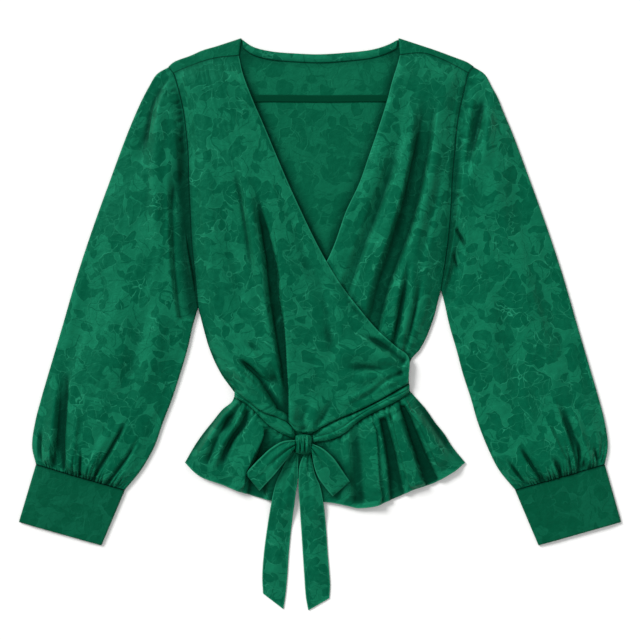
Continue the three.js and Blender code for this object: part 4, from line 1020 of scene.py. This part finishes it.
def make_back_bodice():
    """Flat on the surface; its shoulders turn over a rounded fold and end at the forward seams."""
    rows_body, columns = 84, 130
    shoulder, neck = 0.3, 0.7
    place = panel(
        chain((SHOULDER_FOLD_RIGHT, shoulder), (BACK_NECK, neck), (SHOULDER_FOLD_LEFT, 1.0)),
        Edge(WAIST_BACK),
        chain((ARMHOLE_RIGHT, 0.78), (SIDE_RIGHT, 1.0)),
        chain((ARMHOLE_LEFT, 0.78), (SIDE_LEFT, 1.0)),
    )
    u = np.linspace(0.0, 1.0, columns + 1)
    is_right = u <= 0.5
    share = np.where(is_right, np.clip(u / shoulder, 0, 1), np.clip((u - neck) / (1 - neck), 0, 1))
    seam = np.where(is_right[:, None], Edge(SHOULDER_SEAM_RIGHT)(share), Edge(SHOULDER_SEAM_LEFT)(share))
    seam = seam + (0, SEAM)
    crest = place(u, np.zeros_like(u))
    body = place(*grid_of(np.linspace(0, 1, rows_body + 1), u))
    down = body[1] - body[0]
    down /= np.linalg.norm(down, axis=-1, keepdims=True)
    low, top = CAD_WALL / 2, ON_BACK + CAD_WALL / 2
    forward = (1.0, 0.97, 0.85, 0.65, 0.45, 0.25)
    flap = [lift(crest + (seam - crest) * t, np.full(columns + 1, top)) for t in forward]
    flap = np.array(flap + turned_rows(crest, down, FOLD_RADIUS, top, low, np.linspace(90, -90, 7)))
    below = grid_of(np.linspace(0, 1, rows_body + 1) ** 1.1, u)
    plan = place(*below)[1:]
    x, y = plan[..., 0], plan[..., 1]
    calm = smooth((edge_x(ARMHOLE_LEFT, y) - x) / 30) * smooth((x - edge_x(ARMHOLE_RIGHT, y)) / 30)
    calm = calm * smooth((y - 40) / 60) * smooth((352 - y) / 14)
    wave = 0.35 * drape(x, y, 11, 40, 120) + 0.25 * crumple(x, y, 12)
    height = low + 0.9 * np.maximum(0.0, 0.5 + wave) * calm
    grid = np.vstack([flap, lift(plan, height)])
    used = np.ones((len(grid) - 1, columns), bool)
    first = len(flap) - 1
    shown = (np.arange(columns) < round(shoulder * columns)) | (np.arange(columns) >= round(neck * columns))
    used[:first] = shown
    x, y = grid[..., 0], grid[..., 1]
    shade = 0.85 * beside([OVER_NECK, UNDER_NECK], x, y, 17)
    shade = np.maximum(shade, 0.75 * smooth(1.2 - np.hypot(np.abs(x) - 101, y - 356) / 30))
    below_binding = [(bx, by - BINDING_WIDTH - 3) for bx, by in BACK_NECK]
    shade = np.maximum(shade, 0.5 * beside([below_binding], x, y, 7))
    shade[:len(flap)] = 0
    return cloth("back_bodice", grid, INSIDE, FLAT_WALL, used=used, rims=0, shade=shade)


def make_binding():
    """The band that binds the back neck: a soft roll across its width with a groove along its lower seam."""
    u, v = grid_of(stations(7, BINDING_WIDTH), np.linspace(0, 1, 160))
    edge = Edge([(0.985 * x, y - FOLD_RADIUS) for x, y in BACK_NECK])
    plan = edge(u)
    plan = np.stack([plan[..., 0] * (1 - 0.012 * v), plan[..., 1] - 0.4 - v * (BINDING_WIDTH + 0.6)], -1)
    roll = 0.9 * np.sin(np.pi * np.clip(v, 0, 1)) ** 0.7
    height = ON_BACK + 0.5 + roll + 0.08 * drape(u * 200, v * 10, 21, 9, 60)
    return cloth("back_neck_binding", lift(plan, height), SATIN, THIN_WALL, ditch="b")


def make_tape():
    """Flat woven tape across the inside of the back."""
    u, v = grid_of(np.linspace(0, 1, 7), np.linspace(0, 1, 60))
    start, end = TAPE_ENDS
    plan = np.stack([start + u * (end - start), TAPE_TOP_Y - v * TAPE_WIDTH + 0.3 * np.sin(u * 9)], -1)
    height = ON_BACK + 0.9 + 0.15 * np.sin(u * 21 + 1.0)
    return cloth("back_stay_tape", lift(plan, height), TAPE, 1.0)


def front_edge(armhole, flank, share):
    """Outer edge of a front: its armhole from the shoulder seam down, then its side seam."""
    whole, side = Edge(armhole), Edge(flank)
    first = np.interp(-armhole[1][1], -whole.points[:, 1], whole.shares)

    def at(v):
        above = whole(first + (1 - first) * np.clip(v / share, 0, 1))
        below = side(np.clip((v - share) / (1 - share), 0, 1))
        return np.where((v <= share)[..., None], above, below)

    return at


def make_under_front():
    """Left front, tucked under the right one: long folds fall from the shoulder to the wrap."""
    columns = stations(124, 160)
    rows = stations(270, 470)
    place = panel(
        Edge(SHOULDER_SEAM_LEFT),
        Edge([(np.clip((x + 111) / 220, 0, 1) * 216 - 103, y + 1 + SEAM) for x, y in WAIST_FRONT]),
        Edge(UNDER_NECK),
        front_edge(ARMHOLE_LEFT, SIDE_LEFT, 14 / 22),
    )
    u, v, plan, x, y = spread(place, rows, columns)
    low, pull = under_front_low(x, y)
    shown = smooth((x - edge_x(OVER_NECK, y)) / 6)
    edges = smooth(u / 0.05) * smooth((1 - u) / 0.06) * smooth(v / 0.03)
    detail = (0.75 * drape(u * 170, v * 460, 31) + 0.35 * crumple(x, y, 32)) * shown * edges
    height = low + CAD_WALL / 2 + settle(1.2 * edges * shown + detail)
    groove, _ = lay_folds(UNDER_FRONT_FOLDS[:1], x, y)
    shade = np.maximum(0.75 * beside([OVER_NECK[8:]], x, y, 9), 0.075 * np.maximum(-groove, 0))
    return cloth("front_left", lift(plan, height, pull), SATIN, full=3.2, pale="s", ditch="te", shade=shade)


def make_over_front():
    """Right front, on top: folds run down to the waist, where it rolls over the tie and under itself."""
    columns = stations(150, 220)
    rows = stations(290, 440)
    place = panel(
        Edge(SHOULDER_SEAM_RIGHT),
        Edge(ROLL_EDGE),
        front_edge(ARMHOLE_RIGHT, SIDE_RIGHT[:-1] + ROLL_EDGE[:1], 14 / 24),
        Edge(OVER_NECK),
    )
    u, v = grid_of(rows, columns)
    inset = 2.6
    plan = place(u, v)
    plan[..., 1] += inset * v**8
    x, y = plan[..., 0], plan[..., 1]
    low, pull = over_front_low(x, y)
    edges = smooth(u / 0.05) * smooth((1 - u) / 0.05) * smooth(v / 0.03)
    detail = (0.8 * drape(u * 230, v * 440, 41) + 0.4 * crumple(x, y, 42)) * edges
    height = low + CAD_WALL / 2 + settle(1.2 * edges + detail)
    pull = pull * smooth((1 - v) / 0.04)[..., None]
    grid = lift(plan, height, pull)
    edge, up = place(columns, np.ones_like(columns)), np.array([0.0, 1.0])
    top, floor = grid[-1, :, 2], ROLL_UNDER_Z + CAD_WALL / 2
    turned = turned_rows(edge, up, inset + 0.6, top, floor, np.linspace(90, -90, 9)[1:])
    turned.append(lift(edge + up * ROLL_TURN, np.full_like(top, floor)))
    grid = np.vstack([grid, np.array(turned)])
    x, y = grid[..., 0], grid[..., 1]
    west = smooth((edge_x(CREASE_FOOT, y) + 0.6 - x) / 1.8)
    wide, narrow = beside([CREASE_FOOT], x, y, 17), beside([CREASE_FOOT], x, y, 7)
    shade = (0.6 * smooth(1.3 * wide) + 0.4 * smooth(1.5 * narrow)) * west
    return cloth("front_right", grid, SATIN, pale="e", ditch="ts", shade=shade)


def make_peplum_front(name, top, hem, outer, centre, folds, west, seed):
    """Gathered skirt piece: fine tucks at the waist open into a few deep flares at the narrow rolled hem."""
    width = 150 if west else 220
    columns, rows = stations(96 if west else 150, width), stations(70, PEPLUM_DEPTH)
    outer, centre = Edge(outer), Edge(centre)
    place = panel(Edge(top), Edge(hem), outer if west else centre, centre if west else outer)
    u, v, plan, x, y = spread(place, rows, columns)
    across, along = u * width, v * PEPLUM_DEPTH
    side = u if west else 1 - u
    height, pull = lay_folds(folds, x, y)
    from_side, from_centre = smooth(side / 0.08), smooth((1 - side) / 0.28)
    tie = TIE_RIGHT if west else TIE_LEFT
    below_tie = edge_y(tie["lower"], x) - y
    from_top, from_tie = smooth((below_tie + 1) / 13), smooth((below_tie + 1) / 3)
    press = 1 - 0.6 * smooth(1.5 - np.hypot(x - KNOT_CENTRE[0], y - KNOT_CENTRE[1]) / 68)
    fine = tucks(across, along, width, 13 if west else 19, 60, 2.4, seed)
    base = 7.5 * (1 - 0.45 * smooth((v - 0.65) / 0.35)) * press
    loose = base + height + 0.4 * drape(across, along, seed + 1, 12, 90)
    lifted = (2.6 * from_tie * (1 - from_top) + loose * from_top + fine * from_tie) * from_side * from_centre
    hemline = 0.35 * bell((1 - v) * PEPLUM_DEPTH, HEM_DEPTH, 1.2)
    z = ON_BACK + CAD_WALL / 2 + settle(lifted) - hemline * from_side
    pull = pull * (from_side * from_top * smooth((1 - v) / 0.1))[..., None]
    under_tie = 0.85 * beside([tie["lower"]], x, y, 6)
    bow = LOOP_RIGHT if west else LOOP_LEFT
    tail = TAIL_RIGHT if west else TAIL_LEFT
    bow_end = [bow["upper"][-1], bow["lower"][-1]]
    under_bow = 0.9 * beside([bow["upper"], bow["lower"], bow_end, tail["outer"], tail["inner"]], x, y, 12)
    in_fold = 0.06 * np.maximum(-height, 0) * from_top * from_side
    shade = np.maximum(np.maximum(under_tie, under_bow), in_fold)
    return cloth(name, lift(plan, z, pull), SATIN, THIN_WALL, pale="b", ditch="t", shade=shade)


def make_back_peplum():
    """Back skirt piece, flat on the surface."""
    waist = Edge([(x, y - SEAM) for x, y in WAIST_BACK])
    place = panel(waist, Edge(PEPLUM_HEM_BACK), Edge(PEPLUM_SIDE_RIGHT), Edge(PEPLUM_SIDE_LEFT))
    u, v = grid_of(stations(36, 100), stations(90, 280))
    plan = place(u, v)
    return cloth("back_peplum", lift(plan, np.full(u.shape, CAD_WALL / 2)), INSIDE, FLAT_WALL)


def make_sleeve(name, armhole, outer, inner, folds, west, seed):
    """Flattened tube: the lower half lies on the surface, the upper half puffs up, with long folds from the
    gathered cap and a row of tucks where it is gathered into the cuff."""
    outwards = (-1 if west else 1) * 0.12
    tables = (armhole, outer, inner, [outer[-1], inner[-1]])
    cap, fold_line, underarm, end = (Edge([(x + outwards, y) for x, y in table]) for table in tables)
    place = panel(cap, end, fold_line, lambda v: underarm(v**1.8))
    bend = TUBE_EDGE / 2
    close = np.array([0.0, 0.25, 0.7, 1.3, 2.2, 3.4])
    across = np.linspace(5 / SLEEVE_WIDTH, 1 - 5 / SLEEVE_WIDTH, 138)
    columns = np.concatenate([close / SLEEVE_WIDTH, across, 1 - close[::-1] / SLEEVE_WIDTH])
    rows = 1 - (1 - np.concatenate([[0, 0.001, 0.0022, 0.0036], np.linspace(0.0055, 1, 218)])) ** 1.25
    u, v, plan, x, y = spread(place, rows, columns)
    ends = place(np.array([0.0, 1.0])[None] * np.ones((len(rows), 1)), v[:, :2])
    span = np.linalg.norm(ends[:, 1] - ends[:, 0], axis=-1)[:, None]
    side = np.minimum(u, 1 - u) * span
    edge = FRONT_TOP + (TUBE_EDGE - FRONT_TOP) * smooth(v / 0.1)
    height, pull = lay_folds(folds, x, y)
    away_cuff, away_cap = (1 - v) * SLEEVE_LENGTH, v * SLEEVE_LENGTH
    valley = 0.020 * smooth((u - (0.16 if west else 0.04)) / 0.25)
    rise = smooth(side / 60) ** 0.7 * smooth((v - valley) / 0.034) * (1 - 0.35 * smooth((v - 0.965) / 0.035))
    cuff_tucks = tucks(u * CUFF_EDGE, away_cuff, CUFF_EDGE, 34, 46, 3.6, seed, lean=0.25)
    cuff_puff = 3.4 * smooth(away_cuff / 7) * smooth(1 - away_cuff / 110)
    cap_tucks = tucks(u * CAP_LENGTH, away_cap, CAP_LENGTH, 38, 26, 2.2, seed + 3) * smooth((0.45 - u) / 0.12)
    fine = 0.9 * drape(u * 210, v * 500, seed + 5, 20, 190) + 0.4 * crumple(x, y, seed + 6)
    fade = smooth(side / 9)
    from_cap, to_cuff = smooth(v / 0.04), 1 - 0.3 * smooth((v - 0.985) / 0.015)
    crown = edge + SLEEVE_PUFF * rise + (height + fine * smooth(v / 0.06)) * fade * from_cap * to_cuff
    crown += 2.5 * bell(v, 0.085, 0.05) * smooth(side / 30) * from_cap
    crown += (cuff_tucks + cuff_puff * smooth(side / 14) + cap_tucks * smooth(v / 0.01)) * smooth(side / 5)
    crown = soft_max(crown, edge - 0.3, 0.5)
    radius = edge / 2
    pull = pull * (fade * smooth((1 - v) / 0.05))[..., None]
    upper = lift(plan, radius + (crown - radius) * quarter_round(side / bend), pull)
    low_columns = np.concatenate([close[1:-1], np.linspace(5, 175, 14), SLEEVE_WIDTH - close[-2:0:-1]])
    ul, vl = grid_of(rows, low_columns[::-1] / SLEEVE_WIDTH)
    side_low = np.minimum(ul, 1 - ul) * span
    edge_low = FRONT_TOP + (TUBE_EDGE - FRONT_TOP) * smooth(vl / 0.1)
    lower = lift(place(ul, vl), edge_low / 2 * (1 - quarter_round(side_low / bend)))
    # Width and strength of the painted shade beside the lower armhole
    band, depth = (30, 0.92) if west else (13, 0.55)
    skin = np.concatenate([upper, lower], 1)
    below_shoulder = smooth((262 - skin[..., 1]) / 80)
    shade = depth * smooth(1.7 * beside([armhole[2:]], skin[..., 0], skin[..., 1], band)) * below_shoulder
    shade[:, upper.shape[1]:] = 0
    return tube(name, upper, lower, SATIN, full=2.4, ditch="tb", shade=shade)


def make_cuff(name, outer, inner, seed):
    """Deep plain cuff pressed flat: two layers with folded edges, a stitched line near both ends."""
    left, right = Edge(outer), Edge(inner)
    bend = TUBE_EDGE / 2
    close = np.array([0, 0.25, 0.7, 1.3, 2.2, 3.4])
    columns = np.concatenate([close, np.linspace(6, 108, 60), CUFF_WIDTH - close[::-1]]) / CUFF_WIDTH
    rows = np.concatenate([[0.006, 0.012, 0.02], np.linspace(0.035, 0.985, 44), [0.993, 1.0]])

    def place(u, v):
        return left(v) * (1 - u[..., None]) + right(v) * u[..., None]

    u, v = grid_of(rows, columns)
    side = np.minimum(u, 1 - u) * CUFF_WIDTH
    across, along = u * CUFF_WIDTH, v * CUFF_DEPTH
    stitch = bell(along, 3.0, 0.8) + bell(along, CUFF_DEPTH - 3.5, 0.8)
    ends = 0.9 * (np.exp(-along / 1.2) + np.exp(along - CUFF_DEPTH))
    wave = 0.5 * drape(across, along, seed, 40, 60) + 0.22 * crumple(across, along, seed + 1)
    top = TUBE_EDGE + smooth(side / 20) * (1.2 + wave) - 0.25 * stitch - ends
    upper = lift(place(u, v), bend + (top - bend) * quarter_round(side / bend))
    ul, vl = grid_of(rows, columns[-2:0:-2])
    side_low = np.minimum(ul, 1 - ul) * CUFF_WIDTH
    lower = lift(place(ul, vl), bend * (1 - quarter_round(side_low / bend)))
    return tube(name, upper, lower, CUFF, ditch="t")


def make_tie(name, upper, lower, seed):
    """Waist tie, crushed lengthwise: a raised middle with creases that run along it."""
    top, bottom = Edge(upper), Edge(lower)
    u, v = grid_of(stations(16, 12), np.linspace(0, 1, 110))
    plan = top(u) * (1 - v[..., None]) + bottom(u) * v[..., None]
    x, y = plan[..., 0], plan[..., 1]
    roll_y, lower_y = edge_y(ROLL_EDGE, x), edge_y(lower, x)
    below_roll = np.clip((roll_y - y) / np.maximum(roll_y - lower_y, 1), 0, 1)
    bow = np.sin(np.pi * below_roll)
    crease = 1.3 * bell(v - 0.5, 0.12 * np.sin(u * 7), 0.08)
    ridge = 0.6 * lattice_noise(u * 7, v * 4, seed) * bow
    ends = smooth(u / 0.06) * smooth((1 - u) / 0.06)
    rise = 1.4 * smooth((roll_y - y + 1) / 2)
    z = ON_FRONT + 0.9 + (rise + 4.0 * bow**0.55 - crease * bow + ridge) * (0.4 + 0.6 * ends)
    shade = 0.3 * beside([ROLL_EDGE], x, y, 2.5)
    return cloth(name, lift(plan, z), SATIN, THIN_WALL, reach=3, full=2.6, shade=shade)


def make_loop(name, upper, lower, seed):
    """Bow loop: one strip runs out, turns over a round end and comes back on top, with creases that fan
    out from the knot."""
    top, bottom = Edge(upper), Edge(lower)
    across = stations(26, 25)
    turn_at = 0.955
    out = np.linspace(0, turn_at, 46)
    low = LOOP_UNDER_Z + WALL / 2

    def open_at(s):
        return 2.4 + 4.2 * np.sin(np.pi * np.clip(0.85 * s + 0.1, 0, 1)) ** 1.5

    def rib(s, z):
        v, share = across[:, None], np.full_like(across, s)
        return lift(top(share) * (1 - v) + bottom(share) * v, z * np.ones_like(across))

    rows = [rib(s, low) for s in out]
    half_air = open_at(turn_at) / 2
    for angle in np.radians(np.linspace(-75, 75, 9)):
        rows.append(rib(turn_at + (1 - turn_at) * np.cos(angle), low + half_air + half_air * np.sin(angle)))
    fan = across - 0.5
    for s in out[::-1]:
        near = 1 - s
        pleats = 1.3 * np.cos(fan * 15 + 0.5 + seed) * near**0.8 + 0.7 * np.cos(fan * 27 + seed) * near**2
        dome = 1.2 * np.cos(np.pi * fan) * (0.3 + near)
        rim = smooth(np.minimum(across, 1 - across) / 0.12)
        rows.append(rib(s, low + open_at(s) + (pleats + dome) * rim - 0.6 * np.exp(-s / 0.05)))
    return cloth(name, np.array(rows), SATIN, THIN_WALL, pale="se", reach=4, full=2.0)


def make_tail(name, outer, inner, west, seed):
    """Tie tail: leaves the knot crushed, spreads over the peplum and comes to rest on the surface."""
    left, right = (outer, inner) if west else (inner, outer)
    place = panel(Edge([left[0], right[0]]), Edge([left[-1], right[-1]]), Edge(left), Edge(right))
    u, v, plan, x, y = spread(place, stations(170, TAIL_LENGTH), stations(26, TAIL_WIDTH))
    rest = TAIL_UNDER_Z * (1 - smooth((TAIL_DROP[0] - y) / (TAIL_DROP[0] - TAIL_DROP[1])))
    height, _ = lay_folds(TAIL_FOLDS, x, y)
    bow = np.sin(np.pi * u) ** 0.8
    wave = 0.9 * smooth((1 - v) / 0.2) * (lattice_noise(v * 7, u * 1.2, seed) + 0.5) * bow
    crush = 1.6 * smooth(1 - v / 0.25) * (0.5 + 0.5 * np.cos(u * 15 + seed)) * bow
    hem = 0.3 * bell(np.minimum(u, 1 - u) * TAIL_WIDTH, 2.6, 0.7)
    z = rest + WALL / 2 + settle(height * bow + np.maximum(wave, 0) + crush + 0.3) - hem * smooth(v / 0.2)
    plan = lift(plan, np.maximum(z, WALL / 2))
    return cloth(name, plan, SATIN, THIN_WALL, pale="seb", reach=4, full=2.0)


def make_knot():
    """Knot: a plump wrapped bundle, its strip folded into a few uneven upright pleats."""
    cx, cy = KNOT_CENTRE
    a, b = grid_of(np.linspace(-1, 1, 61), np.linspace(-1, 1, 61))
    x = cx + KNOT_SIZE[0] / 2 * a * np.sqrt(1 - 0.3 * b * b) * (1 - 0.07 * np.cos(np.pi * b))
    y = cy - KNOT_SIZE[1] / 2 * b * np.sqrt(1 - 0.3 * a * a)
    dome = np.maximum(0, (1 - np.abs(a) ** 3.2) * (1 - np.abs(b) ** 3.6)) ** 0.42
    pleat = 1.3 * np.cos(a * 12.5 + 1.1 * b + 0.6) + 0.6 * np.cos(a * 23 - b * 1.6)
    floor = ON_FRONT + 0.2
    z = floor + (KNOT_HIGH_Z - floor) * dome + pleat * dome * smooth((1 - np.abs(b)) / 0.3)
    top = np.stack([x, y, z], -1)
    bottom = np.stack([x, y, np.full_like(x, floor)], -1)
    rows, columns = a.shape
    grid = np.arange(rows * columns).reshape(rows, columns)
    quads = np.stack([grid[:-1, :-1], grid[1:, :-1], grid[1:, 1:], grid[:-1, 1:]], -1).reshape(-1, 4)
    rim = np.concatenate([grid[0], grid[-1], grid[:, 0], grid[:, -1]])
    number = np.arange(rows * columns)
    under = number + rows * columns
    under[rim] = rim
    points = np.vstack([top.reshape(-1, 3), bottom.reshape(-1, 3)])
    points[rim, 2] = floor
    quads = np.vstack([quads, under[quads][:, ::-1]])
    uv = np.tile(cloth_lengths(top).reshape(-1, 2), (2, 1))
    # Painted shade down in the knot's pleats
    depth = np.tile(hollows(top, reach=2.5, full=1.0).ravel(), 2)
    return write_piece("knot", points, quads, uv, depth, SATIN)


# Stage: pale floor, soft light, camera straight above

CAMERA_CENTRE = (0.0, 5.76)
VIEW_WIDTH = 819.2
LENS = 85.0
SENSOR = 36.0


def soft_sun(name, compass, height, strength, spread):
    """Even light from far away: compass is where it comes from, in degrees from +X towards +Y."""
    light = bpy.data.lights.new(name, "SUN")
    light.energy, light.angle = strength, np.radians(spread)
    lamp = bpy.data.objects.new(name, light)
    turn, rise = np.radians(compass), np.radians(height)
    lamp.location = (2 * np.cos(turn) * np.cos(rise), 2 * np.sin(turn) * np.cos(rise), 2 * np.sin(rise))
    lamp.rotation_euler = lamp.location.to_track_quat("Z", "Y").to_euler()
    bpy.context.scene.collection.objects.link(lamp)


def set_stage():
    """A wide pale floor, a soft low sun from the upper left, a weak one to fill in, and a bright even sky."""
    scene = bpy.context.scene
    mesh = bpy.data.meshes.new("floor")
    half, low = 20.0, -0.05 * MM
    corners = [(-half, -half, low), (half, -half, low), (half, half, low), (-half, half, low)]
    mesh.from_pydata(corners, [], [(0, 1, 2, 3)])
    mesh.materials.append(pale_floor("pale floor"))
    floor = bpy.data.objects.new("floor", mesh)
    scene.collection.objects.link(floor)
    soft_sun("key", 138, 36, 2.75, 22)
    soft_sun("fill", 20, 60, 0.2, 60)
    world = bpy.data.worlds.new("studio")
    world.use_nodes = True
    sky = world.node_tree.nodes["Background"].inputs
    sky["Color"].default_value = (1.0, 1.0, 1.0, 1.0)
    sky["Strength"].default_value = 0.52
    scene.world = world
    scene.view_settings.view_transform = "Standard"
    camera = bpy.data.cameras.new("camera")
    camera.lens, camera.sensor_width, camera.sensor_fit = LENS, SENSOR, "HORIZONTAL"
    eye = bpy.data.objects.new("camera", camera)
    distance = VIEW_WIDTH * MM * LENS / SENSOR
    eye.location = (CAMERA_CENTRE[0] * MM, CAMERA_CENTRE[1] * MM, distance + 0.005)
    scene.collection.objects.link(eye)
    scene.camera = eye


def declare(piece, node):
    """Rides the body and stands for its node, whose part is hidden."""
    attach(piece, BODY)
    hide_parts(node)


set_stage()

declare(make_back_bodice(), "back_bodice")
declare(make_binding(), "back_neck_binding")
declare(make_tape(), "back_stay_tape")
declare(make_under_front(), "front_left")
declare(make_over_front(), "front_right")
declare(make_back_peplum(), "back_peplum")
waist_right = [spot for spot in WAIST_FRONT if spot[0] < -29]
waist_left = CENTRE_FRONT_LEFT[:1] + [spot for spot in WAIST_FRONT if spot[0] > -9]
declare(
    make_peplum_front("peplum_front_right", waist_right, PEPLUM_HEM_RIGHT, PEPLUM_SIDE_RIGHT,
                      CENTRE_FRONT_RIGHT, PEPLUM_RIGHT_FOLDS, west=True, seed=61),
    "peplum_front_right",
)
declare(
    make_peplum_front("peplum_front_left", waist_left, PEPLUM_HEM_LEFT, PEPLUM_SIDE_LEFT,
                      CENTRE_FRONT_LEFT, PEPLUM_LEFT_FOLDS, west=False, seed=71),
    "peplum_front_left",
)
declare(
    make_sleeve("sleeve_right", ARMHOLE_RIGHT, SLEEVE_OUTER_RIGHT, SLEEVE_INNER_RIGHT,
                SLEEVE_RIGHT_FOLDS, west=True, seed=81),
    "sleeve_right",
)
declare(
    make_sleeve("sleeve_left", ARMHOLE_LEFT, SLEEVE_OUTER_LEFT, SLEEVE_INNER_LEFT,
                SLEEVE_LEFT_FOLDS, west=False, seed=91),
    "sleeve_left",
)
declare(make_cuff("cuff_right", **CUFF_RIGHT, seed=101), "cuff_right")
declare(make_cuff("cuff_left", **CUFF_LEFT, seed=105), "cuff_left")
declare(
    make_tie("tie_right", **TIE_RIGHT, seed=111),
    "tie_right",
)
declare(
    make_tie("tie_left", **TIE_LEFT, seed=115),
    "tie_left",
)
declare(make_knot(), "knot")
declare(
    make_loop("bow_loop_right", **LOOP_RIGHT, seed=1.0),
    "bow_loop_right",
)
declare(
    make_loop("bow_loop_left", **LOOP_LEFT, seed=2.2),
    "bow_loop_left",
)
declare(
    make_tail("tie_tail_right", **TAIL_RIGHT, west=True, seed=121),
    "tie_tail_right",
)
declare(
    make_tail("tie_tail_left", **TAIL_LEFT, west=False, seed=125),
    "tie_tail_left",
)
